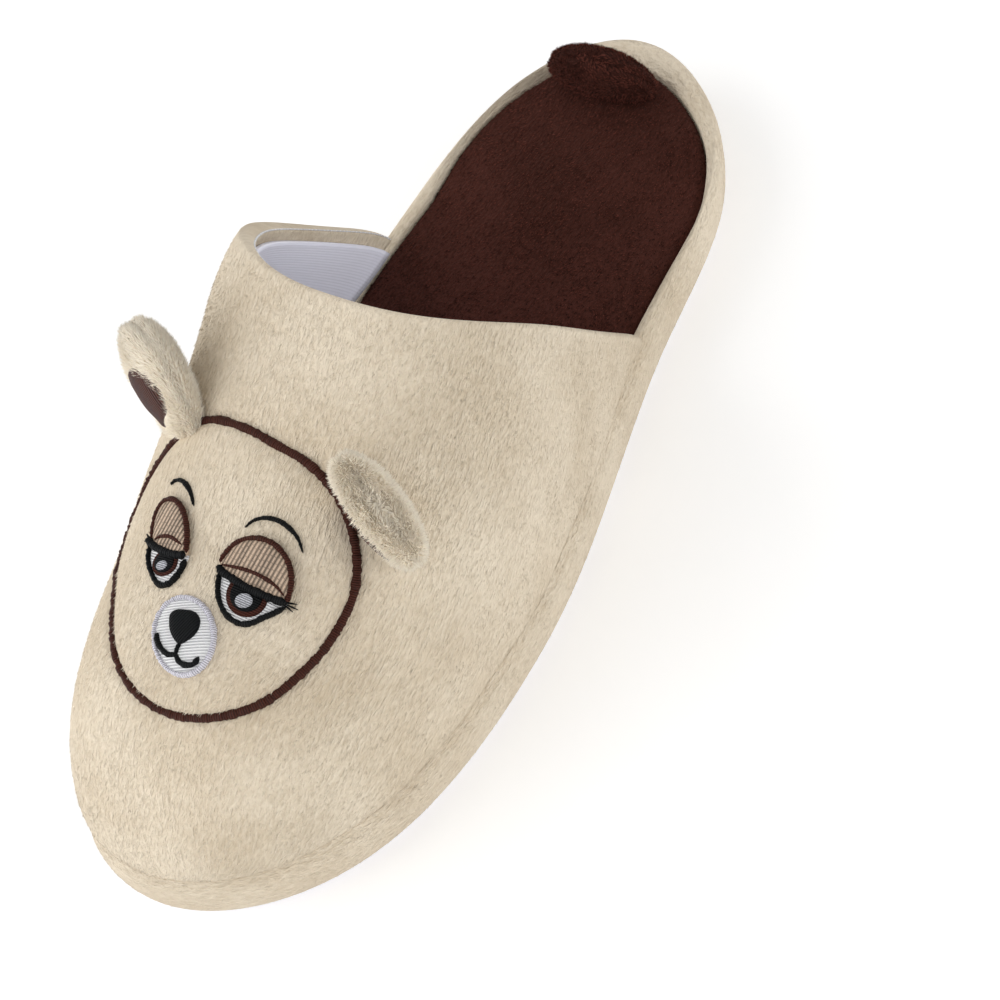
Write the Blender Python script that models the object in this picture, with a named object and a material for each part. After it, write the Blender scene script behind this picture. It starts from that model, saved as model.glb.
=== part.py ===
"""Plush animal slipper, right foot: a hollow upper on a wrapped foam sole, with ears and a tail tab.

Metres, +Z up. The slipper stands on the floor at z = 0 with its toe towards -Y and its medial
side towards +X. The origin is the middle of its length, on the floor.
"""
import math

import bmesh
import bpy
import numpy as np
from mathutils import Vector
from mathutils.bvhtree import BVHTree

# Driving dimensions of the sole, seen from above
LENGTH = 0.262
BALL_WIDTH = 0.0905
WAIST_WIDTH = 0.081
HEEL_WIDTH = 0.077

# Heights above the floor and thicknesses of the layers
SOLE_HEIGHT = 0.0172
OUTSOLE_THICKNESS = 0.0022
OUTSOLE_EDGE = 0.0007
TOE_SPRING = 0.0020
INSOLE_THICKNESS = 0.0040
INSOLE_CROWN = 0.0022
INSOLE_EDGE_RUN = 0.0014
INSOLE_EDGE_DROP = 0.0012
INSOLE_CLEARANCE = 0.0005
HEEL_RIM_HEIGHT = 0.0030
GAP = 0.0003

# Shares of the heel rim's height that the recess edge and the insole take up
RECESS_RIM_SHARE = 0.6
INSOLE_RIM_SHARE = 0.3

# Shares of the length from the toe: end of the toe spring, and start and full height of the rim
SPRING_END = 0.18
RIM_START = 0.66
RIM_FULL = 0.92

# Upper
UPPER_WALL = 0.0030
INSTEP_HEIGHT = 0.0735
UPPER_BULGE = 0.0060
SEAM_TUCK = 0.0016
COLLAR_ROLL = 0.0012
SECTION_POWER = 2.4

# Face panel: its middle is a share of the ball width from the centre line and a share of the
# length from the toe
FACE_RADIUS = 0.0290
FACE_RISE = 0.0016
FACE_ACROSS = 0.031
FACE_ALONG = 0.204

# Stuffed pieces
EAR_WIDTH = 0.0270
EAR_LENGTH = 0.0218
EAR_THICKNESS = 0.0100
TAIL_WIDTH = 0.0310
TAIL_LENGTH = 0.0172
TAIL_THICKNESS = 0.0120
TAIL_SETBACK = 0.0072
TAIL_OFFSET = -0.0030

# Insets from the sole's outline
OUTSOLE_INSET = 0.0030
INSOLE_SIDE_INSET = 0.0030
INSOLE_BACK_INSET = 0.0105

# Facets
STATIONS = 32
UPPER_AROUND = 36
UPPER_ALONG = 22
STUFFED_AROUND = 20
STUFFED_ALONG = 8
INSOLE_COLUMNS = 6
FOOT_RINGS = (0.5, 1.0)

# Step for slopes of the upper's skin, and the turn at the toe below which they are not taken
SLOPE_STEP = 1e-4
SLOPE_TURN = 0.02

# Sole outline. Columns: turn from toe to heel as a share of half a turn, the width that the row
# follows, and the medial and lateral reach as shares of that width. The half-width at a turn is
# its reach times the sine of the turn, so both ends are round.
OUTLINE = (
    (0.0, BALL_WIDTH, 0.700, 0.700),
    (0.2, BALL_WIDTH, 0.711, 0.510),
    (0.4, BALL_WIDTH, 0.613, 0.437),
    (0.6, WAIST_WIDTH, 0.565, 0.488),
    (0.8, HEEL_WIDTH, 0.734, 0.612),
    (1.0, HEEL_WIDTH, 0.655, 0.655),
)

# Height of the upper's middle above the band. Columns: turn, share of the instep height.
CREST = (
    (0.0, 0.0),
    (0.1, 0.240),
    (0.2, 0.570),
    (0.3, 0.690),
    (0.4, 0.905),
    (0.5, 1.060),
    (0.6, 0.930),
)

# Where the collar's edge crosses the length, as shares of it from the toe
COLLAR_TOP = 0.421
COLLAR_MEDIAL = 0.649
COLLAR_LATERAL = 0.676

# Side of the sole band. Columns: height as a share of the band's height, inset in metres.
BAND_SIDE = (
    (0.0, 0.0030),
    (0.12, 0.0010),
    (0.35, 0.0001),
    (0.65, 0.0001),
    (0.90, 0.0006),
    (1.0, 0.0014),
)

# How far the insole stays inside the outline in front of the heel. Columns: turn, and the medial
# and lateral shares of the way from the inset beside the heel to the inset inside the upper.
INSOLE_TUCK = (
    (0.0, 1.0, 1.0),
    (0.60, 1.0, 1.0),
    (0.66, 0.45, 1.0),
    (0.70, 0.0, 0.25),
    (0.74, 0.0, 0.0),
    (1.0, 0.0, 0.0),
)

# The rim round the heel, widest at the back. Columns: turn, and the medial and lateral shares of
# the way from the inset beside the heel to the inset at its back.
RIM_SPREAD = (
    (0.0, 0.0, 0.0),
    (0.72, 0.0, 0.0),
    (0.80, 0.30, 0.0),
    (0.88, 0.62, 0.20),
    (0.94, 0.88, 0.62),
    (1.0, 1.0, 1.0),
)

# Lean of each stuffed piece. Columns: direction of its tip and direction its front faces.
LEFT_EAR_LEAN = ((-0.56, 0.40, 0.72), (-0.45, -0.87, 0.13))
RIGHT_EAR_LEAN = ((0.42, -0.32, 0.85), (-0.50, -0.85, -0.15))
TAIL_LEAN = ((0.0, -0.36, 0.93), (0.0, -0.93, -0.36))

# Middle of each ear's foot, as shares of the ball width and of the length from the toe
LEFT_EAR_PLACE = (-0.243, 0.320)
RIGHT_EAR_PLACE = (0.356, 0.294)

# Outline of a stuffed lobe. Columns: share of its length, share of its half-width, share of its
# half-thickness.
LOBE = (
    (0.0, 0.84, 0.78),
    (0.15, 0.93, 0.92),
    (0.35, 1.0, 1.0),
    (0.55, 0.97, 1.0),
    (0.75, 0.80, 0.88),
    (0.90, 0.52, 0.62),
    (0.98, 0.22, 0.27),
)


def column(table, place):
    return np.array([row[place] for row in table])


def length_share(y):
    """Way along the slipper from the toe, as a share of its length."""
    return y / LENGTH + 0.5


def smooth(at, places, values):
    """Cubic through the table's values, with slopes from the neighbours and level at both ends."""
    slopes = np.gradient(values, places)
    slopes[0] = 0.0
    slopes[-1] = 0.0
    at = np.clip(np.asarray(at, float), places[0], places[-1])
    row = np.clip(np.searchsorted(places, at, side="right") - 1, 0, len(places) - 2)
    span = places[row + 1] - places[row]
    u = (at - places[row]) / span
    start = (2 * u**3 - 3 * u**2 + 1) * values[row] + (u**3 - 2 * u**2 + u) * span * slopes[row]
    end = (3 * u**2 - 2 * u**3) * values[row + 1] + (u**3 - u**2) * span * slopes[row + 1]
    return start + end


def half_width(turn, side):
    """Half-width of the sole at a turn in radians; side is +1 medial, -1 lateral."""
    reach = column(OUTLINE, 1) * column(OUTLINE, 2 if side > 0 else 3)
    return np.sin(turn) * smooth(turn / math.pi, column(OUTLINE, 0), reach)


def outline_ring(inset):
    """Points of the sole's outline moved inwards, up the medial side and back down the lateral."""
    turn = np.linspace(0.0, math.pi, STATIONS + 1)
    y = -LENGTH / 2 * np.cos(turn)
    medial = np.stack([half_width(turn, 1), y], 1)
    lateral = np.stack([-half_width(turn, -1), y], 1)[-2:0:-1]
    ring = np.concatenate([medial, lateral])
    along = np.roll(ring, -1, 0) - np.roll(ring, 1, 0)
    along /= np.linalg.norm(along, axis=1)[:, None]
    outward = np.stack([along[:, 1], -along[:, 0]], 1)
    return ring - outward * np.reshape(inset, (-1, 1))


def toe_lift(y):
    """Height that the toe spring adds in front of the ball."""
    share = np.clip(1 - length_share(y) / SPRING_END, 0.0, 1.0)
    return TOE_SPRING * share**2


def insole_inset(clearance=0.0):
    """Inset of the insole's edge at each point of the outline ring."""
    turn = np.linspace(0.0, 1.0, STATIONS + 1)
    inside_upper = SEAM_TUCK + UPPER_WALL + 2 * GAP
    sides = []
    for side in (1, 2):
        tuck = np.interp(turn, column(INSOLE_TUCK, 0), column(INSOLE_TUCK, side))
        rim = np.interp(turn, column(RIM_SPREAD, 0), column(RIM_SPREAD, side))
        inset = INSOLE_SIDE_INSET + tuck * (inside_upper - INSOLE_SIDE_INSET)
        sides.append(inset + rim * (INSOLE_BACK_INSET - INSOLE_SIDE_INSET))
    return np.concatenate([sides[0], sides[1][-2:0:-1]]) - clearance


def ring_3d(ring, height):
    """Outline points at a height, lifted by the toe spring."""
    z = np.broadcast_to(height, len(ring)) + toe_lift(ring[:, 1])
    return np.column_stack([ring, z])


def heel_rim(ring):
    """Height that the rim round the heel adds to the band's top edge."""
    share = np.clip((length_share(ring[:, 1]) - RIM_START) / (RIM_FULL - RIM_START), 0.0, 1.0)
    return HEEL_RIM_HEIGHT * share * share * (3 - 2 * share)


def add_ring(mesh, points):
    return [mesh.verts.new(point) for point in points]


def bridge(mesh, lower, upper):
    """Side faces between two rings of the same length, facing out when the rings run anticlockwise."""
    count = len(lower)
    for i in range(count):
        j = (i + 1) % count
        mesh.faces.new((lower[i], lower[j], upper[j], upper[i]))


def cap(mesh, ring, crown, columns, facing_up):
    """Closes a ring with rows from the lateral to the medial side, raised by crown(x share, y)."""
    rows = [[ring[0]]]
    for i in range(1, STATIONS):
        medial = ring[i]
        lateral = ring[-i]
        row = [lateral]
        for k in range(1, columns):
            share = k / columns
            place = lateral.co.lerp(medial.co, share)
            place.z += crown(share, i / STATIONS)
            row.append(mesh.verts.new(place))
        row.append(medial)
        rows.append(row)
    rows.append([ring[STATIONS]])
    for near, far in zip(rows, rows[1:]):
        for k in range(columns):
            corners = []
            for row, place in ((near, k), (near, k + 1), (far, k + 1), (far, k)):
                corner = row[min(place, len(row) - 1)]
                if corner not in corners:
                    corners.append(corner)
            if not facing_up:
                corners.reverse()
            mesh.faces.new(corners)


def flat(share, turn):
    return 0.0


def insole_crown(share, turn):
    """The padding swells to the middle of the foot bed and fades at both ends."""
    return INSOLE_CROWN * (1 - (2 * share - 1) ** 2) * math.sin(math.pi * turn) ** 0.5


def material(name, colour, roughness):
    made = bpy.data.materials.new(name)
    made.use_nodes = True
    shader = made.node_tree.nodes["Principled BSDF"]
    shader.inputs["Base Color"].default_value = (*colour, 1.0)
    shader.inputs["Roughness"].default_value = roughness
    shader.inputs["Metallic"].default_value = 0.0
    made.diffuse_color = (*colour, 1.0)
    return made


def finish(name, mesh, finish_material):
    """Turns a bmesh into a named object with its material and smooth shading."""
    bmesh.ops.recalc_face_normals(mesh, faces=mesh.faces)
    data = bpy.data.meshes.new(name)
    mesh.to_mesh(data)
    mesh.free()
    data.materials.append(finish_material)
    data.shade_smooth()
    data.set_sharp_from_angle(angle=math.radians(50))
    piece = bpy.data.objects.new(name, data)
    bpy.context.collection.objects.link(piece)
    return piece


def build_outsole(textile):
    """Flat textile outsole, one plane from the ball to the heel."""
    mesh = bmesh.new()
    levels = (
        (OUTSOLE_INSET + OUTSOLE_EDGE, 0.0),
        (OUTSOLE_INSET, OUTSOLE_EDGE),
        (OUTSOLE_INSET, OUTSOLE_THICKNESS),
    )
    rings = [add_ring(mesh, ring_3d(outline_ring(inset), height)) for inset, height in levels]
    for lower, upper in zip(rings, rings[1:]):
        bridge(mesh, lower, upper)
    cap(mesh, rings[0], flat, 2, False)
    cap(mesh, rings[-1], flat, 2, True)
    return finish("outsole", mesh, textile)


def build_sole_band(plush):
    """Foam sole wrapped in plush, with a recess for the insole and a rim round the heel."""
    mesh = bmesh.new()
    floor = OUTSOLE_THICKNESS + GAP
    tall = SOLE_HEIGHT - floor
    rings = []
    for share, inset in BAND_SIDE:
        ring = outline_ring(inset)
        height = floor + share * tall + share * heel_rim(ring)
        rings.append(add_ring(mesh, ring_3d(ring, height)))
    recess = outline_ring(insole_inset(INSOLE_CLEARANCE))
    edge_height = SOLE_HEIGHT + RECESS_RIM_SHARE * heel_rim(recess)
    rings.append(add_ring(mesh, ring_3d(recess, edge_height)))
    rings.append(add_ring(mesh, ring_3d(recess, SOLE_HEIGHT - INSOLE_THICKNESS)))
    for lower, upper in zip(rings, rings[1:]):
        bridge(mesh, lower, upper)
    cap(mesh, rings[0], flat, 2, False)
    cap(mesh, rings[-1], flat, 2, True)
    return finish("sole_band", mesh, plush)


def insole_top(ring):
    """Height of the insole's edge, which follows the heel's rim a little."""
    return SOLE_HEIGHT + INSOLE_RIM_SHARE * heel_rim(ring)


def build_insole(plush):
    """Padded insole that fills the recess, with a rounded edge and a swollen middle."""
    mesh = bmesh.new()
    inset = insole_inset()
    bottom = SOLE_HEIGHT - INSOLE_THICKNESS + 2 * GAP
    edge = outline_ring(inset)
    shoulder = outline_ring(inset + INSOLE_EDGE_RUN)
    rings = [
        add_ring(mesh, ring_3d(edge, bottom)),
        add_ring(mesh, ring_3d(edge, insole_top(edge) - INSOLE_EDGE_DROP)),
        add_ring(mesh, ring_3d(shoulder, insole_top(shoulder))),
    ]
    for lower, upper in zip(rings, rings[1:]):
        bridge(mesh, lower, upper)
    cap(mesh, rings[0], flat, 2, False)
    cap(mesh, rings[-1], insole_crown, INSOLE_COLUMNS, True)
    return finish("insole", mesh, plush)


def face_rise(x, y):
    """The face panel is stuffed: it swells inside its ring, highest at the middle."""
    across = x - FACE_ACROSS * BALL_WIDTH
    along = y - (FACE_ALONG - 0.5) * LENGTH
    share = (across**2 + along**2) / FACE_RADIUS**2
    return FACE_RISE * np.sqrt(np.clip(1 - share, 0.0, 1.0))


def upper_point(turn, round_angle):
    """Outer skin of the upper. At each turn the section is a superellipse over the band."""
    medial = half_width(turn, 1)
    lateral = half_width(turn, -1)
    middle = (medial - lateral) / 2
    reach = (medial + lateral) / 2 - SEAM_TUCK * np.sin(turn)
    reach = reach + UPPER_BULGE * np.sin(round_angle) * np.sin(turn)
    crest = INSTEP_HEIGHT * smooth(turn / math.pi, column(CREST, 0), column(CREST, 1))
    across = np.cos(round_angle)
    x = middle + reach * np.sign(across) * np.abs(across) ** (2 / SECTION_POWER)
    y = -(LENGTH / 2 - SEAM_TUCK) * np.cos(turn)
    z = SOLE_HEIGHT + GAP + crest * np.abs(np.sin(round_angle)) ** (2 / SECTION_POWER)
    return np.stack([x, y, z + toe_lift(y)], -1)


def collar_turn(round_angle):
    """Turn at which the collar's edge crosses, lowest at the sides and furthest forward on top."""
    side = np.where(round_angle < math.pi / 2, COLLAR_MEDIAL, COLLAR_LATERAL)
    place = side + (COLLAR_TOP - side) * np.sin(round_angle)
    return np.arccos(1 - 2 * place)


def upper_grid(around, along):
    """Outer skin and outward normals on a grid of rows round the section and columns to the collar."""
    angle = np.linspace(0.0, math.pi, around + 1)[:, None]
    share = np.linspace(0.0, 1.0, along + 1)[None, :]
    turn = share * collar_turn(angle)
    angle = angle + 0 * share
    skin = upper_point(turn, angle)
    step = SLOPE_STEP
    at_angle = np.clip(angle, step, math.pi - step)
    at_turn = np.maximum(turn, SLOPE_TURN)
    by_turn = upper_point(at_turn + step, at_angle) - upper_point(at_turn - step, at_angle)
    by_angle = upper_point(at_turn, at_angle + step) - upper_point(at_turn, at_angle - step)
    normal = np.cross(by_turn, by_angle)
    normal[0, :, 2] = 0.0
    normal[-1, :, 2] = 0.0
    normal /= np.linalg.norm(normal, axis=-1, keepdims=True)
    normal[:, 0] = (0.0, -1.0, 0.0)
    proud = face_rise(skin[..., 0], skin[..., 1]) * (normal[..., 2] > 0)
    return skin + proud[..., None] * normal, skin, normal


def build_upper(plush):
    """Hollow upper: outer skin with the face panel, inner skin a wall inside it, and a rolled collar."""
    outer, plain, normal = upper_grid(UPPER_AROUND, UPPER_ALONG)
    inner = plain - UPPER_WALL * normal
    edge_way = outer[:, -1] - outer[:, -2]
    edge_way /= np.linalg.norm(edge_way, axis=-1, keepdims=True)
    roll = (outer[:, -1] + inner[:, -1]) / 2 + COLLAR_ROLL * edge_way
    roll[0, 2] = outer[0, -1, 2]
    roll[-1, 2] = outer[-1, -1, 2]
    mesh = bmesh.new()
    skins = []
    for skin in (outer, inner):
        pole = mesh.verts.new(skin[0, 0])
        skins.append([[pole] + [mesh.verts.new(point) for point in row[1:]] for row in skin])
    rolled = [mesh.verts.new(point) for point in roll]
    for rows, outward in ((skins[0], True), (skins[1], False)):
        for near, far in zip(rows, rows[1:]):
            for i in range(UPPER_ALONG):
                corners = [near[i], near[i + 1], far[i + 1], far[i]]
                if i == 0:
                    corners = corners[:3]
                if not outward:
                    corners.reverse()
                mesh.faces.new(corners)
    for i in range(UPPER_AROUND):
        mesh.faces.new((skins[0][i][-1], rolled[i], rolled[i + 1], skins[0][i + 1][-1]))
        mesh.faces.new((rolled[i], skins[1][i][-1], skins[1][i + 1][-1], rolled[i + 1]))
    for row, turned in ((0, False), (-1, True)):
        for i in range(UPPER_ALONG):
            corners = [skins[0][row][i], skins[1][row][i], skins[1][row][i + 1], skins[0][row][i + 1]]
            if turned:
                corners.reverse()
            mesh.faces.new(corners)
        ends = [skins[0][row][-1], skins[1][row][-1], rolled[row]]
        if turned:
            ends.reverse()
        mesh.faces.new(ends)
    return finish("upper", mesh, plush)


def upper_seat():
    """The upper's outer skin, a gap proud of it, as a tree for seating the ears on."""
    outer, _, normal = upper_grid(3 * UPPER_AROUND, 3 * UPPER_ALONG)
    skin = outer + GAP * normal
    rows, columns = skin.shape[:2]
    index = np.arange(rows * columns).reshape(rows, columns)
    quads = np.stack([index[:-1, :-1], index[:-1, 1:], index[1:, 1:], index[1:, :-1]], -1)
    points = [Vector(point) for point in skin.reshape(-1, 3)]
    return BVHTree.FromPolygons(points, quads.reshape(-1, 4).tolist())


def insole_seat(insole):
    """The insole's own faces as a tree for seating the tail on."""
    mesh = bmesh.new()
    mesh.from_mesh(insole.data)
    tree = BVHTree.FromBMesh(mesh)
    mesh.free()
    return tree


def build_lobe(name, seat, clearance, place, lean, size, plush):
    """A stuffed lobe. Its foot is cast along its axis onto the seat, and its sections run to the tip."""
    tip = Vector(lean[0]).normalized()
    front = Vector(lean[1])
    front = (front - tip * front.dot(tip)).normalized()
    across = front.cross(tip).normalized()
    width, length, thickness = size
    start = Vector(place)
    far = 4 * length

    def foot_depth(offset):
        """Signed way along the axis from the lobe's start to its seat, under an offset point."""
        hit = seat.ray_cast(start + offset + tip * far, -tip)[0]
        if hit is None:
            hit = seat.find_nearest(start + offset)[0]
        return (hit - start - offset).dot(tip) + clearance

    def section(angle, wide, thick):
        """Offset from the axis of a point on a section, wide across and thick front to back."""
        sideways = across * (math.cos(angle) * wide * width / 2)
        return sideways + front * (math.sin(angle) * thick * thickness / 2)

    mesh = bmesh.new()
    angles = [2 * math.pi * i / STUFFED_AROUND for i in range(STUFFED_AROUND)]
    foot_wide, foot_thick = LOBE[0][1], LOBE[0][2]
    depths = [foot_depth(section(angle, foot_wide, foot_thick)) for angle in angles]
    rings = [[mesh.verts.new(start + tip * foot_depth(Vector()))]]
    for inside in FOOT_RINGS:
        ring = []
        for angle in angles:
            offset = section(angle, foot_wide * inside, foot_thick * inside)
            ring.append(mesh.verts.new(start + offset + tip * foot_depth(offset)))
        rings.append(ring)
    places = column(LOBE, 0)
    for share in np.linspace(0.0, places[-1], STUFFED_ALONG)[1:]:
        wide = float(smooth(share, places, column(LOBE, 1)))
        thick = float(smooth(share, places, column(LOBE, 2)))
        ring = []
        for angle, depth in zip(angles, depths):
            way = depth * (1 - share) + length * share
            ring.append(mesh.verts.new(start + section(angle, wide, thick) + tip * way))
        rings.append(ring)
    rings.append([mesh.verts.new(start + tip * length)])
    for lower, upper in zip(rings, rings[1:]):
        for i in range(STUFFED_AROUND):
            j = (i + 1) % STUFFED_AROUND
            corners = []
            for ring, k in ((lower, i), (lower, j), (upper, j), (upper, i)):
                corner = ring[k % len(ring)] if len(ring) > 1 else ring[0]
                if corner not in corners:
                    corners.append(corner)
            mesh.faces.new(corners)
    return finish(name, mesh, plush)


def main():
    for old in list(bpy.data.objects):
        bpy.data.objects.remove(old, do_unlink=True)
    cream = material("cream_plush", (0.72, 0.60, 0.42), 0.95)
    brown = material("brown_plush", (0.055, 0.016, 0.012), 0.95)
    textile = material("outsole_textile", (0.72, 0.72, 0.80), 0.85)
    build_outsole(textile)
    build_sole_band(cream)
    insole = build_insole(brown)
    build_upper(cream)
    seat = upper_seat()
    ear = (EAR_WIDTH, EAR_LENGTH, EAR_THICKNESS)
    for name, place, lean in (
        ("ear_left", LEFT_EAR_PLACE, LEFT_EAR_LEAN),
        ("ear_right", RIGHT_EAR_PLACE, RIGHT_EAR_LEAN),
    ):
        across = place[0] * BALL_WIDTH
        above = Vector((across, (place[1] - 0.5) * LENGTH, 2 * (SOLE_HEIGHT + INSTEP_HEIGHT)))
        foot = seat.ray_cast(above, Vector((0.0, 0.0, -1.0)))[0]
        build_lobe(name, seat, 0.0, foot, lean, ear, cream)
    tail_place = Vector((TAIL_OFFSET, LENGTH / 2 - INSOLE_BACK_INSET - TAIL_SETBACK, SOLE_HEIGHT))
    tail = (TAIL_WIDTH, TAIL_LENGTH, TAIL_THICKNESS)
    build_lobe("tail", insole_seat(insole), 3 * GAP, tail_place, TAIL_LEAN, tail, brown)


main()
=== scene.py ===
"""Finished look of a plush animal slipper for the right foot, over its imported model.

Metres, +Z up. The toe points to -Y, the medial side to +X, and the sole stands on z = 0. Each piece
is a surface worked out from the slipper's own sizes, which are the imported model's.
"""
import math

import bmesh
import bpy
import numpy as np
from bpy.props import FloatProperty, FloatVectorProperty, IntProperty, PointerProperty
from bpy.types import Operator, Panel, PropertyGroup
from mathutils import Matrix, Vector


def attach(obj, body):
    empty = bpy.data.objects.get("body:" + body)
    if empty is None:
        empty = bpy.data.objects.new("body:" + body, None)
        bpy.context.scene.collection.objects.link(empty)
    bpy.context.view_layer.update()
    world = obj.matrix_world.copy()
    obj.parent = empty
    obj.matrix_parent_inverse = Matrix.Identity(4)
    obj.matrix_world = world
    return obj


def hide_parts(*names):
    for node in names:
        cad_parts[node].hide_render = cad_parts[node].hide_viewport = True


bl_info = {
    "name": "Plush animal slipper",
    "version": (1, 0, 0),
    "blender": (4, 5, 0),
    "location": "View3D > Sidebar > Slipper",
    "description": "Dresses the packed slipper with plush, lining, embroidery and a studio",
    "category": "Object",
}

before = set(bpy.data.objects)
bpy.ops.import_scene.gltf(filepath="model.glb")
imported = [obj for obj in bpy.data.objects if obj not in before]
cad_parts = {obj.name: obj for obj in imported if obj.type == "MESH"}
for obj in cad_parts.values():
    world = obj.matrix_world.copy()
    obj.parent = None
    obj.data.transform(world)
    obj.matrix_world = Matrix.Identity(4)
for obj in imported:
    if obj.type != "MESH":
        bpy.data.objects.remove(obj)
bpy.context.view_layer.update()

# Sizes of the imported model
LENGTH = 0.262
BALL_WIDTH = 0.0905
WAIST_WIDTH = 0.081
HEEL_WIDTH = 0.077
SOLE_HEIGHT = 0.0172
OUTSOLE_THICKNESS = 0.0022
OUTSOLE_INSET = 0.0030
TOE_SPRING = 0.0020
INSOLE_THICKNESS = 0.0040
INSOLE_CROWN = 0.0022
INSOLE_EDGE_RUN = 0.0022
INSOLE_EDGE_DROP = 0.0014
INSOLE_RIM_SHARE = 0.3
RECESS_RIM_SHARE = 0.6
INSOLE_SIDE_INSET = 0.0030
INSOLE_BACK_INSET = 0.0105
HEEL_RIM_HEIGHT = 0.0030
GAP = 0.0003
SPRING_END = 0.18
RIM_START = 0.66
RIM_FULL = 0.92
UPPER_WALL = 0.0030
INSTEP_HEIGHT = 0.0735
UPPER_BULGE = 0.0060
SEAM_TUCK = 0.0016
SECTION_POWER = 2.4
COLLAR_TOP = 0.421
COLLAR_MEDIAL = 0.649
COLLAR_LATERAL = 0.676
FACE_RADIUS = 0.0290
FACE_ACROSS = 0.031
FACE_ALONG = 0.204
EAR_SIZE = (0.0270, 0.0218, 0.0100)
TAIL_SIZE = (0.0310, 0.0172, 0.0120)
TAIL_SETBACK = 0.0072
TAIL_OFFSET = -0.0030

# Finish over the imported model: fullness of the collar and of the face, depths to which the ring and
# the band's seam are drawn in, unevenness of the stuffing, roll and stitches of the collar's edge,
# and widths of the embroidered lines
COLLAR_SWELL = 0.0032
FACE_SWELL = 0.0022
RING_DRAW = 0.0007
SEAM_DRAW = 0.0008
UNEVEN = 0.00025
COLLAR_ROLL = 0.0013
COLLAR_BEAD = 0.00032
COLLAR_STITCH = 0.0016
RING_WIDTH = 0.0020
LINE_WIDTH = 0.0012

# Grip dots: margin to the outsole's edge, margin to its two ends, and radius and height by ring
DOT_MARGIN = 0.0035
DOT_END_MARGIN = 0.010
DOT_RINGS = ((0.0009, -0.0002), (0.0009, 0.00010), (0.0006, 0.00025), (0.0, 0.0003))

# Pile: shares of its tufts below which they take the deep and the middle tone, and the number and
# the lean in degrees of the tufts on the stuffed pieces
PILE_SHARES = (0.34, 0.62)
EAR_TUFTS = 14000
TAIL_TUFTS = 9000
LOBE_LEAN = 40.0

# Sole outline. Columns: turn from toe to heel as a share of half a turn, the width that the row
# follows, and the medial and lateral reach as shares of that width.
OUTLINE = (
    (0.0, BALL_WIDTH, 0.700, 0.700),
    (0.2, BALL_WIDTH, 0.711, 0.510),
    (0.4, BALL_WIDTH, 0.613, 0.437),
    (0.6, WAIST_WIDTH, 0.565, 0.488),
    (0.8, HEEL_WIDTH, 0.734, 0.612),
    (1.0, HEEL_WIDTH, 0.655, 0.655),
)

# Height of the upper's middle above the band. Columns: turn, share of the instep height.
CREST = (
    (0.0, 0.0),
    (0.1, 0.240),
    (0.2, 0.570),
    (0.3, 0.690),
    (0.4, 0.905),
    (0.5, 1.060),
    (0.6, 0.930),
)

# Side of the sole band. Columns: height as a share of the band's height, inset in metres.
BAND_SIDE = (
    (0.0, 0.0034),
    (0.06, 0.0016),
    (0.16, 0.0005),
    (0.35, 0.0),
    (0.65, 0.0),
    (0.84, 0.0003),
    (0.94, 0.0009),
    (1.0, 0.0018),
)

# Insole inset. Columns: turn, medial and lateral shares of the way to the inset inside the upper.
INSOLE_TUCK = (
    (0.0, 1.0, 1.0),
    (0.60, 1.0, 1.0),
    (0.66, 0.45, 1.0),
    (0.70, 0.0, 0.25),
    (0.74, 0.0, 0.0),
    (1.0, 0.0, 0.0),
)

# Heel rim. Columns: turn, medial and lateral shares of the way to the inset at the heel's back.
RIM_SPREAD = (
    (0.0, 0.0, 0.0),
    (0.72, 0.0, 0.0),
    (0.80, 0.30, 0.0),
    (0.88, 0.62, 0.20),
    (0.94, 0.88, 0.62),
    (1.0, 1.0, 1.0),
)

# Outline of a stuffed lobe. Columns: shares of its length, half-width and half-thickness.
LOBE = (
    (0.0, 0.84, 0.78),
    (0.15, 0.93, 0.92),
    (0.35, 1.0, 1.0),
    (0.55, 0.97, 1.0),
    (0.75, 0.80, 0.88),
    (0.90, 0.52, 0.62),
    (0.97, 0.28, 0.34),
    (1.0, 0.0, 0.0),
)

# Ears. Columns: side, middle of the foot as shares of the ball width and of the length from the
# toe, then the direction of the tip and the direction that the front faces
EARS = (
    ("left", (-0.243, 0.320), ((-0.56, 0.40, 0.72), (-0.45, -0.87, 0.13))),
    ("right", (0.356, 0.294), ((0.42, -0.32, 0.85), (-0.50, -0.85, -0.15))),
)
TAIL_LEAN = ((0.0, -0.36, 0.93), (0.0, -0.93, -0.36))

# Radius of the face ring every 20 degrees from the medial side round by the ears, as shares of
# the face radius
RING_RADIUS = (
    1.025, 1.10, 1.09, 1.01, 0.945, 0.99, 1.10, 1.11, 1.04,
    0.93, 0.81, 0.79, 0.85, 0.93, 0.985, 1.01, 1.01, 0.99,
)

# Embroidered shapes of the face. Places are across to the medial side and up to the ears, from
# the middle of the face, as shares of the face radius.
MUZZLE = ((0.101, -0.465), 0.285, 0.222, -50.0)
NOSE = (
    (-0.032, -0.425), (-0.051, -0.370), (-0.023, -0.325), (0.045, -0.299), (0.117, -0.292),
    (0.175, -0.326), (0.199, -0.385), (0.191, -0.449), (0.156, -0.505), (0.118, -0.540),
    (0.065, -0.525), (0.010, -0.485),
)
MOUTH_STEM = ((0.118, -0.529), (0.113, -0.565), (0.122, -0.612))
SMILE = (
    (-0.084, -0.517), (-0.057, -0.567), (0.003, -0.609), (0.068, -0.626), (0.122, -0.612),
    (0.163, -0.640), (0.219, -0.645), (0.273, -0.617), (0.287, -0.558),
)

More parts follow.
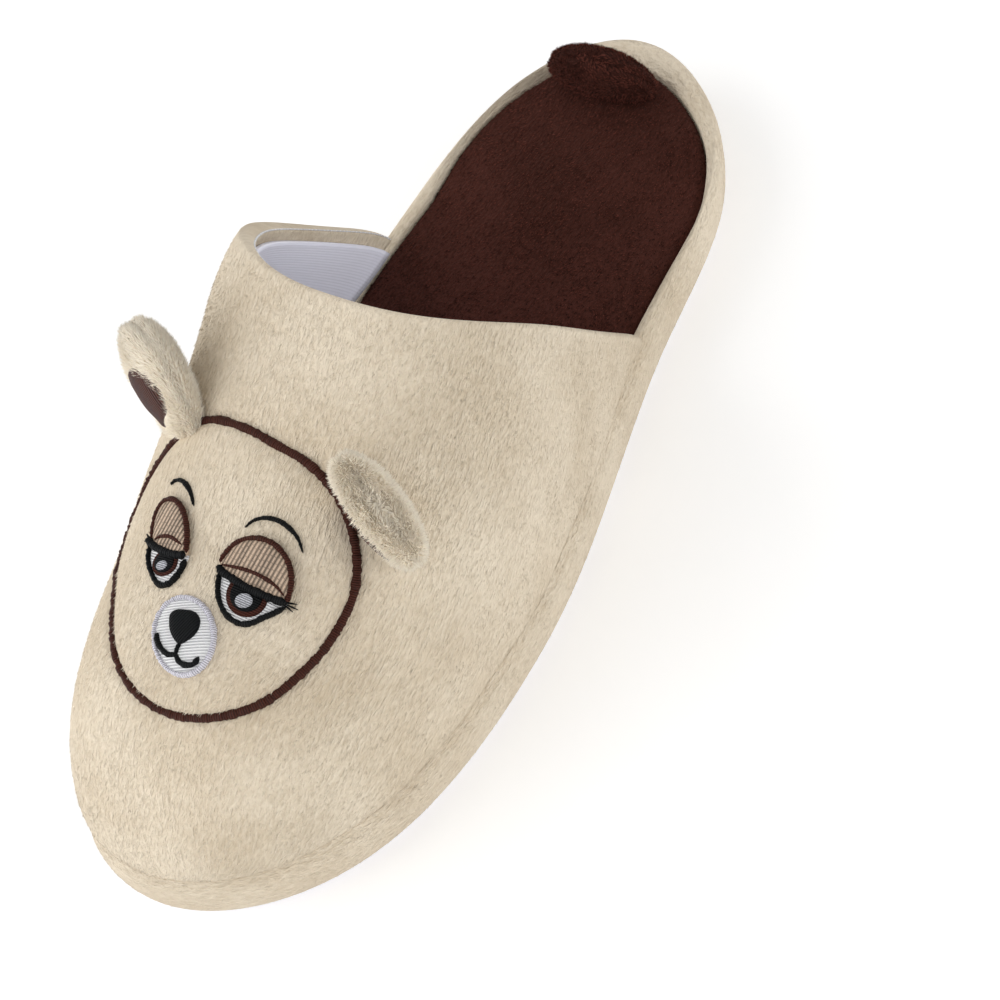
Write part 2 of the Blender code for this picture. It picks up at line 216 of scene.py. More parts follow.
# One row for each eye: its lid, lash line, lower edge, crease and brow from the lateral end to
# the medial end, its lashes, and the middle and radius of its iris
EYES = {
    "left": {
        "lid": ((-0.466, 0.107), (-0.503, 0.190), (-0.523, 0.288), (-0.505, 0.366), (-0.438, 0.400),
                (-0.350, 0.378), (-0.265, 0.310), (-0.195, 0.210), (-0.140, 0.076)),
        "lash": ((-0.501, 0.100), (-0.400, 0.058), (-0.281, 0.041), (-0.190, 0.045), (-0.127, 0.062)),
        "lower": ((-0.485, 0.070), (-0.440, -0.041), (-0.365, -0.125), (-0.286, -0.183),
                  (-0.226, -0.193), (-0.172, -0.150), (-0.142, -0.060), (-0.138, 0.040)),
        "crease": ((-0.430, 0.100), (-0.383, 0.135), (-0.298, 0.150), (-0.180, 0.120)),
        "brow": ((-0.532, 0.494), (-0.500, 0.531), (-0.433, 0.534), (-0.353, 0.496), (-0.292, 0.443),
                 (-0.249, 0.390)),
        "hairs": (((-0.480, 0.094), (-0.551, 0.140)), ((-0.480, 0.082), (-0.545, 0.085)),
                  ((-0.470, 0.105), (-0.520, 0.165))),
        "iris": ((-0.285, -0.030), 0.105),
    },
    "right": {
        "lid": ((0.136, 0.094), (0.150, 0.156), (0.184, 0.232), (0.252, 0.299), (0.347, 0.337),
                (0.454, 0.341), (0.543, 0.308), (0.609, 0.254), (0.653, 0.177), (0.672, 0.090),
                (0.675, 0.020)),
        "lash": ((0.135, 0.080), (0.180, 0.045), (0.249, 0.030), (0.367, 0.010), (0.461, 0.004),
                 (0.578, 0.007), (0.688, 0.022)),
        "lower": ((0.150, 0.050), (0.166, -0.020), (0.188, -0.080), (0.231, -0.149), (0.303, -0.212),
                  (0.380, -0.241), (0.455, -0.237), (0.514, -0.200), (0.562, -0.141), (0.612, -0.086),
                  (0.680, 0.000)),
        "crease": ((0.158, 0.087), (0.222, 0.096), (0.326, 0.112), (0.447, 0.116), (0.572, 0.097),
                   (0.655, 0.055)),
        "brow": ((0.205, 0.365), (0.243, 0.426), (0.320, 0.472), (0.423, 0.487), (0.524, 0.466),
                 (0.599, 0.426), (0.659, 0.360)),
        "hairs": (((0.660, 0.020), (0.748, 0.050)), ((0.660, 0.012), (0.766, 0.018)),
                  ((0.660, 0.006), (0.740, -0.012))),
        "iris": ((0.405, -0.045), 0.150),
    },
}

# Camera: place in metres, its azimuth, elevation and roll in degrees, and its lens in millimetres
CAMERA_PLACE = (0.20048, -0.20401, 0.39887)
CAMERA_AZIMUTH = 42.02
CAMERA_ELEVATION = 56.21
CAMERA_ROLL = -17.40
CAMERA_LENS = 70.14

# Studio. Columns of the lights: name, place, size in metres and power in watts
LIGHTS = (
    ("key_light", (-0.95, -0.60, 0.60), 1.5, 10.0),
    ("fill_light", (1.00, 0.15, 0.45), 1.0, 4.5),
    ("front_light", (-0.35, -1.20, 0.40), 1.2, 4.5),
)
LIGHT_AIM = (0.0, -0.03, 0.04)
SKY_STRENGTH = 0.62
FLOOR_LEVEL = -0.0003
FLOOR_REACH = 3.0
FLOOR_TONE = 0.92
FLOOR_GLOW = 0.22


# Shape functions

def column(table, place):
    return np.array([row[place] for row in table])


def length_share(y):
    """Way along the slipper from the toe, as a share of its length."""
    return y / LENGTH + 0.5


def smooth(at, places, values):
    """Cubic through a table's values, with slopes from the neighbours and level at both ends."""
    slopes = np.gradient(values, places)
    slopes[0] = 0.0
    slopes[-1] = 0.0
    at = np.clip(np.asarray(at, float), places[0], places[-1])
    row = np.clip(np.searchsorted(places, at, side="right") - 1, 0, len(places) - 2)
    span = places[row + 1] - places[row]
    u = (at - places[row]) / span
    start = (2 * u**3 - 3 * u**2 + 1) * values[row] + (u**3 - 2 * u**2 + u) * span * slopes[row]
    end = (3 * u**2 - 2 * u**3) * values[row + 1] + (u**3 - u**2) * span * slopes[row + 1]
    return start + end


def step(at, low, high):
    """Smooth step: 0 below low, 1 above high, and 3u^2 - 2u^3 between them."""
    u = np.clip((at - low) / (high - low), 0.0, 1.0)
    return u * u * (3 - 2 * u)


def unit(vectors):
    return vectors / np.maximum(np.linalg.norm(vectors, axis=-1, keepdims=True), 1e-12)


def cubic(a, b, c, d, u):
    """From b to c as u goes from 0 to 1, with slopes half the way from a to c and from b to d."""
    return 0.5 * (2 * b + (c - a) * u + (2 * a - 5 * b + 4 * c - d) * u**2 + (3 * b - a - 3 * c + d) * u**3)


def way_along(points):
    """Length from the first row of points to each of the others."""
    steps = np.linalg.norm(np.diff(points, axis=0), axis=-1)
    return np.concatenate([0 * steps[:1], np.cumsum(steps, axis=0)])


def spline(points, count, closed=False):
    """Curve through points: on each span the cubic whose end slopes are half the way between the
    neighbouring points, then stepped evenly along its length."""
    points = np.asarray(points, float)
    if closed:
        padded = np.concatenate([points[-1:], points, points[:2]])
        spans = len(points)
    else:
        before = 2 * points[:1] - points[1:2]
        after = 2 * points[-1:] - points[-2:-1]
        padded = np.concatenate([before, points, after])
        spans = len(points) - 1
    at = np.linspace(0.0, spans, 40 * spans + 1)
    row = np.minimum(at.astype(int), spans - 1)
    u = (at - row)[:, None]
    a, b, c, d = (padded[row + k] for k in range(4))
    fine = cubic(a, b, c, d, u)
    way = way_along(fine)
    even = np.linspace(0.0, way[-1], count, endpoint=not closed)
    return np.stack([np.interp(even, way, fine[:, k]) for k in range(fine.shape[1])], 1)


def waves(points, scale, seed):
    """Soft noise from -1 to 1: the mean of sines that run in seeded directions, with waves near a scale."""
    rng = np.random.default_rng(seed)
    total = np.zeros(points.shape[:-1])
    for _ in range(7):
        way = unit(rng.normal(size=3))
        total += np.sin(points @ way * (2 * math.pi / scale) * rng.uniform(0.6, 1.5) + rng.uniform(0, 7))
    return np.clip(total / 3.2, -1, 1)


def half_width(turn, side):
    """Half-width of the sole at a turn in radians: its reach times the turn's sine."""
    reach = column(OUTLINE, 1) * column(OUTLINE, 2 if side > 0 else 3)
    return np.sin(turn) * smooth(turn / math.pi, column(OUTLINE, 0), reach)


def toe_lift(y):
    """Height that the toe spring adds in front of the ball: its square share of the way to the toe."""
    return TOE_SPRING * np.clip(1 - length_share(y) / SPRING_END, 0.0, 1.0) ** 2


def heel_rim(y):
    """Height that the rim round the heel adds to the band's top edge."""
    return HEEL_RIM_HEIGHT * step(length_share(y), RIM_START, RIM_FULL)


def insole_inset(turn, side):
    """Inset of the insole's edge from the sole's outline on one side."""
    place = 1 if side > 0 else 2
    share = turn / math.pi
    tuck = np.interp(share, column(INSOLE_TUCK, 0), column(INSOLE_TUCK, place))
    rim = np.interp(share, column(RIM_SPREAD, 0), column(RIM_SPREAD, place))
    inset = INSOLE_SIDE_INSET + tuck * (SEAM_TUCK + UPPER_WALL + 2 * GAP - INSOLE_SIDE_INSET)
    return inset + rim * (INSOLE_BACK_INSET - INSOLE_SIDE_INSET)


def outline(turn, side, inset):
    """Plan points of the sole's outline on one side, moved inwards along its normal."""
    step_size = 1e-3
    before, after = np.clip(turn - step_size, 0, math.pi), np.clip(turn + step_size, 0, math.pi)
    half = -LENGTH / 2
    point = np.stack([side * half_width(turn, side), half * np.cos(turn)], -1)
    slope = np.stack([
        side * (half_width(after, side) - half_width(before, side)),
        half * (np.cos(after) - np.cos(before)),
    ], -1)
    slope = unit(slope)
    outward = side * np.stack([slope[..., 1], -slope[..., 0]], -1)
    at_end = (np.sin(turn) < 1e-6)[..., None]
    outward = np.where(at_end, np.stack([0 * turn, -np.cos(turn)], -1), outward)
    return point - outward * np.asarray(inset)[..., None]


def upper_base(turn, angle):
    """Plain skin of the upper: at each turn a superellipse over the band, with
    x = middle + reach cos(angle)^(2/p) and z = band + crest sin(angle)^(2/p)."""
    medial = half_width(turn, 1)
    lateral = half_width(turn, -1)
    reach = (medial + lateral) / 2 - SEAM_TUCK * np.sin(turn)
    reach = reach + UPPER_BULGE * np.sin(angle) * np.sin(turn)
    crest = INSTEP_HEIGHT * smooth(turn / math.pi, column(CREST, 0), column(CREST, 1))
    across = np.cos(angle)
    x = (medial - lateral) / 2 + reach * np.sign(across) * np.abs(across) ** (2 / SECTION_POWER)
    y = -(LENGTH / 2 - SEAM_TUCK) * np.cos(turn)
    z = SOLE_HEIGHT + GAP + crest * np.abs(np.sin(angle)) ** (2 / SECTION_POWER)
    return np.stack([x, y, z + toe_lift(y)], -1)


def upper_normal(turn, angle):
    """Outward normal of the plain skin, from small steps along it and round it."""
    small = 1e-4
    at_angle = np.clip(angle, small, math.pi - small)
    at_turn = np.maximum(turn, 0.02)
    by_turn = upper_base(at_turn + small, at_angle) - upper_base(at_turn - small, at_angle)
    by_angle = upper_base(at_turn, at_angle + small) - upper_base(at_turn, at_angle - small)
    normal = np.cross(by_turn, by_angle)
    level = (angle < 1e-6) | (angle > math.pi - 1e-6)
    normal[..., 2] = np.where(level, 0.0, normal[..., 2])
    normal = unit(normal)
    return np.where((turn < 1e-6)[..., None], np.array([0.0, -1.0, 0.0]), normal)


def collar_turn(angle):
    """Turn at which the collar's edge crosses, lowest at the sides and furthest forward on top."""
    side = np.where(angle < math.pi / 2, COLLAR_MEDIAL, COLLAR_LATERAL)
    return np.arccos(1 - 2 * (side + (COLLAR_TOP - side) * np.sin(angle)))


def face_shares(x, y):
    """Plan places as shares of the face radius, across and up from the middle of the face."""
    across = (x - FACE_ACROSS * BALL_WIDTH) / FACE_RADIUS
    return across, (y - (FACE_ALONG - 0.5) * LENGTH) / FACE_RADIUS


def ring_radius(around):
    """Radius of the face ring at an angle, by a periodic cubic through its table."""
    values = np.array(RING_RADIUS)
    at = np.mod(around, 2 * math.pi) / (2 * math.pi) * len(values)
    row = at.astype(int) % len(values)
    u = at - np.floor(at)
    a, b, c, d = (values[(row + k) % len(values)] for k in (-1, 0, 1, 2))
    return cubic(a, b, c, d, u)


def relief(point, normal):
    """Height of the stuffed upper over its plain skin: the face swells inside its ring and is
    drawn in by the stitches, the seam above the band is tucked in, and the rest is a little uneven."""
    across, up = face_shares(point[..., 0], point[..., 1])
    share = np.hypot(across, up) / ring_radius(np.arctan2(up, across))
    on_top = step(normal[..., 2], 0.0, 0.35)
    swell = FACE_SWELL * np.sqrt(np.clip(1 - share**2, 0.0, 1.0)) * on_top
    drawn = -RING_DRAW * np.exp(-((share - 1) / 0.07) ** 2) * on_top
    above = point[..., 2] - SOLE_HEIGHT - toe_lift(point[..., 1])
    tuck = -SEAM_DRAW * np.exp(-above / 0.0016)
    return swell + drawn + tuck + collar_swell(point, normal) + UNEVEN * waves(point, 0.034, 3)


def collar_swell(point, normal):
    """Fullness of the folded collar on its lateral side, which fades towards the toe."""
    return COLLAR_SWELL * step(-normal[..., 0], 0.40, 0.95) * step(point[..., 1], -0.040, -0.002)


def upper_skin(turn, angle):
    """Finished skin of the upper and its outward normal."""
    point = upper_base(turn, angle)
    normal = upper_normal(turn, angle)
    return point + relief(point, normal)[..., None] * normal, normal


def drape(across, up):
    """Skin and normal under a place on the face. The turn comes from y, and the angle is found by
    repeating angle = arccos(signed power of (x - middle) / reach(angle))."""
    x = FACE_ACROSS * BALL_WIDTH + across * FACE_RADIUS
    y = (FACE_ALONG - 0.5) * LENGTH + up * FACE_RADIUS
    return drape_plan(x, y)


def drape_plan(x, y):
    """As drape, for a place in metres."""
    turn = np.arccos(np.clip(-y / (LENGTH / 2 - SEAM_TUCK), -1, 1))
    medial = half_width(turn, 1)
    lateral = half_width(turn, -1)
    angle = np.full(np.shape(x), math.pi / 2)
    for _ in range(24):
        reach = (medial + lateral) / 2 + (UPPER_BULGE * np.sin(angle) - SEAM_TUCK) * np.sin(turn)
        share = np.clip((x - (medial - lateral) / 2) / reach, -1, 1)
        angle = np.arccos(np.sign(share) * np.abs(share) ** (SECTION_POWER / 2))
    return upper_skin(turn, angle)


# Mesh helpers

def grid_faces(rows, columns, wrap=False):
    """Quads of a grid of points, joined from the last column back to the first if it wraps."""
    across = np.arange(columns if wrap else columns - 1)
    down = np.arange(rows - 1)[:, None]
    a = down * columns + across
    b = down * columns + (across + 1) % columns
    return np.stack([a, b, b + columns, a + columns], -1).reshape(-1, 4)


def strip_faces(near, far):
    """Quads between two rows of point numbers."""
    return np.stack([near[:-1], near[1:], far[1:], far[:-1]], -1)


def folded_faces(rows, columns):
    """Quads of a sheet folded back on itself half way along its columns, closed down both sides."""
    index = np.arange(rows * columns).reshape(rows, columns)
    half = columns // 2
    sides = [strip_faces(index[row, :half], index[row, ::-1][:half]) for row in (0, -1)]
    return np.concatenate([grid_faces(rows, columns)] + sides)


def grid_normals(points, outward):
    """Unit normals of a grid from its slopes along rows and columns, on the side of outward."""
    normal = unit(np.cross(np.gradient(points, axis=0), np.gradient(points, axis=1)))
    return normal * np.sign((normal * outward).sum(-1, keepdims=True) + 1e-9)


def build_mesh(name, points, faces, uv=None, weld=True):
    """Mesh from arrays. Equal points are welded, which closes seams and poles, and the faces are
    turned outwards."""
    mesh = bpy.data.meshes.new(name)
    points = np.ascontiguousarray(points.reshape(-1, 3), dtype=np.float32)
    mesh.vertices.add(len(points))
    mesh.vertices.foreach_set("co", points.ravel())
    count, corners = faces.shape
    mesh.loops.add(count * corners)
    mesh.loops.foreach_set("vertex_index", faces.ravel().astype(np.int32))
    mesh.polygons.add(count)
    mesh.polygons.foreach_set("loop_start", np.arange(count, dtype=np.int32) * corners)
    mesh.update(calc_edges=True)
    if uv is not None:
        layer = mesh.uv_layers.new(name="cloth")
        spread = uv.reshape(-1, 2)[faces.ravel()].astype(np.float32)
        layer.uv.foreach_set("vector", spread.ravel())
    if weld:
        work = bmesh.new()
        work.from_mesh(mesh)
        bmesh.ops.remove_doubles(work, verts=work.verts, dist=2e-6)
        bmesh.ops.dissolve_degenerate(work, edges=work.edges, dist=1e-7)
        bmesh.ops.recalc_face_normals(work, faces=work.faces)
        work.to_mesh(mesh)
        work.free()
    mesh.shade_smooth()
    return mesh


def place_piece(name, mesh, finishes, replaces=()):
    """Shows a mesh as a piece of the slipper with its finishes, parented to the root body."""
    piece = bpy.data.objects.new(name, mesh)
    bpy.context.scene.collection.objects.link(piece)
    for made in finishes:
        mesh.materials.append(made)
    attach(piece, "root")
    if replaces:
        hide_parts(*replaces)


def scatter(points, normals, flow, count, seed, weight):
    """Random places on a grid surface, even by area times a weight: their points, normals and flow,
    each mixed from the four corners of its cell."""
    rng = np.random.default_rng(seed)
    diagonal = points[1:, 1:] - points[:-1, :-1]
    other = points[1:, :-1] - points[:-1, 1:]
    area = np.linalg.norm(np.cross(diagonal, other), axis=-1)
    if weight is not None:
        area = area * weight[:-1, :-1]
    chance = area.ravel() / area.sum()
    cell = rng.choice(len(chance), size=count, p=chance)
    row, place = np.divmod(cell, area.shape[1])
    u, v = rng.random((2, count, 1))

    def mixed(values):
        low = values[row, place] * (1 - v) + values[row, place + 1] * v
        high = values[row + 1, place] * (1 - v) + values[row + 1, place + 1] * v
        return low * (1 - u) + high * u

    return mixed(points), unit(mixed(normals)), unit(mixed(flow))


def pile_mesh(name, roots, normals, flow, length, width, lean, seed, ruffle):
    """Pile as joined closed spikes: each has a small base triangle under the cloth and one tip at
    root + length (cos(lean) flow + sin(lean) normal), turned and leant a little by soft noise."""
    rng = np.random.default_rng(seed)
    count = len(roots)
    side = unit(np.cross(normals, flow))
    flow = np.cross(side, normals)
    swing = ruffle * waves(roots, 0.0065, seed + 1) + rng.normal(0.0, 0.13, count)
    swing = swing[:, None]
    way = flow * np.cos(swing) + side * np.sin(swing)
    side = np.cross(normals, way)
    rise = np.radians(lean) * (1 + 0.15 * waves(roots, 0.009, seed + 2) + rng.normal(0.0, 0.20, count))
    rise = rise[:, None]
    axis = way * np.cos(rise) + normals * np.sin(rise)
    over = np.cross(axis, side)
    reach = (length * rng.uniform(0.7, 1.2, count))[:, None]
    half = (width * rng.uniform(0.35, 0.6, count))[:, None]
    foot = roots - normals * 0.00035
    corners = np.stack([
        foot + side * half,
        foot - side * half,
        foot - over * half * 0.9,
        foot + axis * reach,
    ], 1)
    start = 4 * np.arange(count)[:, None]
    faces = np.concatenate([start + np.array(each) for each in ((0, 1, 2), (0, 3, 1), (1, 3, 2), (2, 3, 0))])
    mesh = build_mesh(name, corners, faces, weld=False)
    tone = rng.random(count) * 0.85 + 0.15 * (0.5 + 0.5 * waves(roots, 0.006, seed + 3))
    index = np.digitize(tone, PILE_SHARES)
    mesh.polygons.foreach_set("material_index", np.tile(index, 4).astype(np.int32))
    mesh.update()
    return mesh


# Materials

def new_material(name, colour, roughness, sheen=0.0, specular=0.3):
    """A matt cloth or thread material, with its constant values on the shader's own sockets."""
    made = bpy.data.materials.new(name)
    made.use_nodes = True
    shader = made.node_tree.nodes["Principled BSDF"]
    shader.inputs["Base Color"].default_value = (*colour, 1.0)
    shader.inputs["Roughness"].default_value = roughness
    shader.inputs["Specular IOR Level"].default_value = specular
    shader.inputs["Sheen Weight"].default_value = sheen
    shader.inputs["Sheen Roughness"].default_value = 0.5
    shader.inputs["Sheen Tint"].default_value = (*(np.array(colour) ** 0.5), 1.0)
    made.diffuse_color = (*colour, 1.0)
    return made, made.node_tree, shader


def math_node(tree, operation, first, second=None, third=None):
    """A Math node whose inputs are links or numbers. Returns its output."""
    node = tree.nodes.new("ShaderNodeMath")
    node.operation = operation
    for place, value in enumerate((first, second, third)):
        if value is None:
            continue
        if isinstance(value, (int, float)):
            node.inputs[place].default_value = value
        else:
            tree.links.new(value, node.inputs[place])
    return node.outputs[0]


def stretched(tree, vector, scale):
    """A vector multiplied part by part."""
    node = tree.nodes.new("ShaderNodeVectorMath")
    node.operation = "MULTIPLY"
    tree.links.new(vector, node.inputs[0])
    node.inputs[1].default_value = scale
    return node.outputs[0]


def noise_node(tree, vector, scale, detail=2.0):
    node = tree.nodes.new("ShaderNodeTexNoise")
    node.inputs["Scale"].default_value = scale
    node.inputs["Detail"].default_value = detail
    tree.links.new(vector, node.inputs["Vector"])
    return node.outputs["Fac"]


def ridge_node(tree, row):
    """Round ridges, one for each whole step of row: the size of sin(pi row)."""
    return math_node(tree, "ABSOLUTE", math_node(tree, "SINE", math_node(tree, "MULTIPLY", row, math.pi)))


def new_group(name, vectors, sizes):
    """An empty node group with vector and float inputs, which puts out a tone and a height."""
    tree = bpy.data.node_groups.new(name, "ShaderNodeTree")
    for label in vectors:
        tree.interface.new_socket(label, in_out="INPUT", socket_type="NodeSocketVector")
    for label in sizes:
        tree.interface.new_socket(label, in_out="INPUT", socket_type="NodeSocketFloat")
    for label in ("Tone", "Height"):
        tree.interface.new_socket(label, in_out="OUTPUT", socket_type="NodeSocketFloat")
    start = tree.nodes.new("NodeGroupInput")
    end = tree.nodes.new("NodeGroupOutput")
    return tree, start, end


def pile_group():
    """Brushed pile: streaks that run along the cloth's length, finer hairs over them, and broad
    patches where the pile was stroked another way. Gives a tone and a height, both from 0 to 1. The
    tone follows the height, so the grooves between the streaks are painted darker: painted shade."""
    if "brushed_pile" in bpy.data.node_groups:
        return bpy.data.node_groups["brushed_pile"]
    tree, start, end = new_group("brushed_pile", ("Cloth", "Place"), ())
    streaks = noise_node(tree, stretched(tree, start.outputs["Cloth"], (420.0, 1300.0, 1.0)), 1.0, 3.0)
    hairs = noise_node(tree, stretched(tree, start.outputs["Cloth"], (900.0, 3200.0, 1.0)), 1.0, 2.0)
    patches = noise_node(tree, start.outputs["Place"], 38.0, 2.0)
    height = math_node(tree, "MULTIPLY_ADD", streaks, 0.7, math_node(tree, "MULTIPLY", hairs, 0.3))
    # Painted shade: the tone takes more than half from the height, so low streaks are darker; the patches'
    # share differs at random
    tone = math_node(tree, "MULTIPLY_ADD", patches, 0.45, math_node(tree, "MULTIPLY", height, 0.55))
    tree.links.new(tone, end.inputs["Tone"])
    tree.links.new(height, end.inputs["Height"])
    return tree


def thread_group():
    """Rows of thread: each row is a round ridge a pitch apart, and its stitches are a length long
    with a small dip at their ends, shifted from row to row. Gives a tone and a height. The tone
    follows the height, so the hollows between rows and the dips are painted darker than the ridges:
    painted shade; a random share from row to row is the thread's own tone."""
    if "thread_rows" in bpy.data.node_groups:
        return bpy.data.node_groups["thread_rows"]
    tree, start, end = new_group("thread_rows", ("Cloth",), ("Pitch", "Stitch"))
    parts = tree.nodes.new("ShaderNodeSeparateXYZ")
    tree.links.new(start.outputs["Cloth"], parts.inputs[0])
    row = math_node(tree, "DIVIDE", parts.outputs["Y"], start.outputs["Pitch"])
    ridge = ridge_node(tree, row)
    seed = tree.nodes.new("ShaderNodeTexWhiteNoise")
    seed.noise_dimensions = "1D"
    tree.links.new(math_node(tree, "FLOOR", row), seed.inputs["W"])
    along = math_node(tree, "DIVIDE", parts.outputs["X"], start.outputs["Stitch"])
    shifted = math_node(tree, "ADD", along, math_node(tree, "MULTIPLY", seed.outputs["Value"], 3.0))
    from_middle = math_node(tree, "SUBTRACT", math_node(tree, "FRACT", shifted), 0.5)
    dip = math_node(tree, "GREATER_THAN", math_node(tree, "ABSOLUTE", from_middle), 0.43)
    height = math_node(tree, "MULTIPLY", ridge, math_node(tree, "MULTIPLY_ADD", dip, -0.6, 1.0))
    # Painted shade: the ridge's height darkens the colour in the hollows between rows and at the dips
    painted_ridge_shade = math_node(tree, "MULTIPLY", height, 0.65)
    tone = math_node(tree, "MULTIPLY_ADD", seed.outputs["Value"], 0.35, painted_ridge_shade)
    tree.links.new(tone, end.inputs["Tone"])
    tree.links.new(height, end.inputs["Height"])
    return tree


def knit_group():
    """Fine knit: ribs a pitch apart, crossed by finer rows of loops. Gives a tone and a height. The
    tone follows the height, so the hollows between ribs and loops are painted darker: painted shade;
    the fuzz's share is tone that differs at random.
    """
    if "fine_knit" in bpy.data.node_groups:
        return bpy.data.node_groups["fine_knit"]
    tree, start, end = new_group("fine_knit", ("Cloth",), ("Pitch",))
    parts = tree.nodes.new("ShaderNodeSeparateXYZ")
    tree.links.new(start.outputs["Cloth"], parts.inputs[0])
    rib = math_node(tree, "DIVIDE", parts.outputs["X"], start.outputs["Pitch"])
    loop_pitch = math_node(tree, "MULTIPLY", start.outputs["Pitch"], 0.7)
    loops = ridge_node(tree, math_node(tree, "DIVIDE", parts.outputs["Y"], loop_pitch))
    height = math_node(
        tree, "MULTIPLY_ADD", ridge_node(tree, rib), 0.65, math_node(tree, "MULTIPLY", loops, 0.35)
    )
    fuzz = noise_node(tree, start.outputs["Cloth"], 900.0, 2.0)
    # Painted shade: the tone follows the ribs' and loops' height
    tone = math_node(tree, "MULTIPLY_ADD", fuzz, 0.4, math_node(tree, "MULTIPLY", height, 0.6))
    tree.links.new(tone, end.inputs["Tone"])
    tree.links.new(height, end.inputs["Height"])
    return tree


def coordinates(tree, kind):
    """Output of the piece's own cloth map, or of its Object coordinates."""
    if kind == "cloth":
        node = tree.nodes.new("ShaderNodeUVMap")
        node.uv_map = "cloth"
        return node.outputs["UV"]
    return tree.nodes.new("ShaderNodeTexCoord").outputs["Object"]


def paint(tree, shader, tone, deep, light, low, high):
    """Base colour that runs from deep to light as the tone rises from low to high."""
    ramp = tree.nodes.new("ShaderNodeValToRGB")
    ramp.color_ramp.elements[0].position = low
    ramp.color_ramp.elements[0].color = (*deep, 1.0)
    ramp.color_ramp.elements[1].position = high
    ramp.color_ramp.elements[1].color = (*light, 1.0)
    tree.links.new(tone, ramp.inputs["Fac"])
    tree.links.new(ramp.outputs["Color"], shader.inputs["Base Color"])


def raise_bump(tree, shader, height, depth):
    """Normal of a surface raised by a depth in metres where the height is 1."""
    node = tree.nodes.new("ShaderNodeBump")
    node.inputs["Distance"].default_value = depth
    tree.links.new(height, node.inputs["Height"])
    tree.links.new(node.outputs["Normal"], shader.inputs["Normal"])


def shade(colour, share):
    return tuple(float(c) * share for c in colour)


def patterned(name, colour, group, kind, deep, light, span, depth, sizes=(), **surface):
    """A finish whose colour runs from deep to light over a span of its group's tone, and whose bump
    follows the group's height. As each group's tone follows its height, the deep end is painted
    shade in the hollows."""
    if name in bpy.data.materials:
        return bpy.data.materials[name]
    made, tree, shader = new_material(name, colour, **surface)
    pattern = tree.nodes.new("ShaderNodeGroup")
    pattern.node_tree = group
    for label, value in sizes:
        pattern.inputs[label].default_value = value
    tree.links.new(coordinates(tree, kind), pattern.inputs["Cloth"])
    if "Place" in pattern.inputs:
        tree.links.new(coordinates(tree, "object"), pattern.inputs["Place"])
    paint(tree, shader, pattern.outputs["Tone"], deep, light, *span)
    raise_bump(tree, shader, pattern.outputs["Height"], depth)
    return made


def plush_material(name, colour, low):
    """Cloth under the pile: brushed streaks of the colour's deep and light tones. The deep tone, the
    colour darkened by low, is painted shade: it stands for the shade between the tufts and in the grooves.
    """
    deep = tuple(c * low**power for c, power in zip(colour, (0.8, 1.0, 1.3)))
    return patterned(
        name, colour, pile_group(), "cloth", deep, shade(colour, 1.03), (0.34, 0.58), 0.0018,
        roughness=0.95, sheen=0.2, specular=0.1,
    )


# The last number of each plush cloth sets its painted shade: how far the deep tone between the tufts darkens
# the colour
def cream_cloth():
    return plush_material("cream_plush_cloth", tuple(look().cream), 0.73)


def brown_cloth():
    return plush_material("brown_plush_cloth", tuple(look().brown), 0.42)


def pile_materials(name, colour, tones):
    """The tufts' finishes, from deep to light. On the brown pile the light copy is partly painted highlight.
    """
    made = []
    for label, share in zip(("deep", "middle", "light"), tones):
        full = name + "_" + label
        if full in bpy.data.materials:
            made.append(bpy.data.materials[full])
            continue
        tone = tuple(min(1.0, c) for c in shade(colour, share))
        made.append(new_material(full, tone, 0.9, sheen=0.15, specular=0.1)[0])
    return made


def thread_material(name, colour, pitch, stitch, contrast, depth=0.0004, specular=0.35):
    """Embroidery thread in satin rows, with painted shade in their hollows: the deep tone is the colour
    times the contrast.
    """
    light = tuple(min(1.0, c * 1.15) for c in colour)
    return patterned(
        name, colour, thread_group(), "cloth", shade(colour, contrast), light, (0.1, 0.8), depth,
        (("Pitch", pitch), ("Stitch", stitch)), roughness=0.55, specular=specular,
    )


def knit_material(name, colour, kind, pitch, contrast, depth):
    """Fine knitted textile, with painted shade in its hollows: the deep tone is the colour times the
    contrast.
    """
    return patterned(
        name, colour, knit_group(), kind, shade(colour, contrast), colour, (0.2, 0.8), depth,
        (("Pitch", pitch),), roughness=0.75, sheen=0.2, specular=0.25,
    )


# Surfaces of the soft pieces

def upper_grid(around, along, first=0.0):
    """Grid of the finished skin: rows round the section from the medial side, columns to the collar."""
    angle = np.linspace(0.0, math.pi, around + 1)[:, None]
    share = np.linspace(first, 1.0, along + 1)[None, :]
    return upper_skin(share * collar_turn(angle), angle + 0 * share)


def band_profile(turn, side, count):
    """Side of the sole band from its lower edge to its top edge, on a grid of turns and heights."""
    share = np.linspace(0.0, 1.0, count)
    share = 0.5 - 0.5 * np.cos(share * math.pi)
    inset = smooth(share, column(BAND_SIDE, 0), column(BAND_SIDE, 1))
    floor = OUTSOLE_THICKNESS + GAP
    plan = outline(turn[:, None] + 0 * share, side, inset[None, :] + 0 * turn[:, None])
    height = floor + share * (SOLE_HEIGHT - floor + heel_rim(plan[..., 1]))
    height = height + toe_lift(plan[..., 1])
    return np.concatenate([plan, height[..., None]], -1)


def lobe_axes(lean):
    """Tip, front and across directions of a stuffed piece."""
    tip = unit(np.array(lean[0]))
    front = np.array(lean[1])
    front = unit(front - tip * (front @ tip))
    return tip, front, np.cross(front, tip)


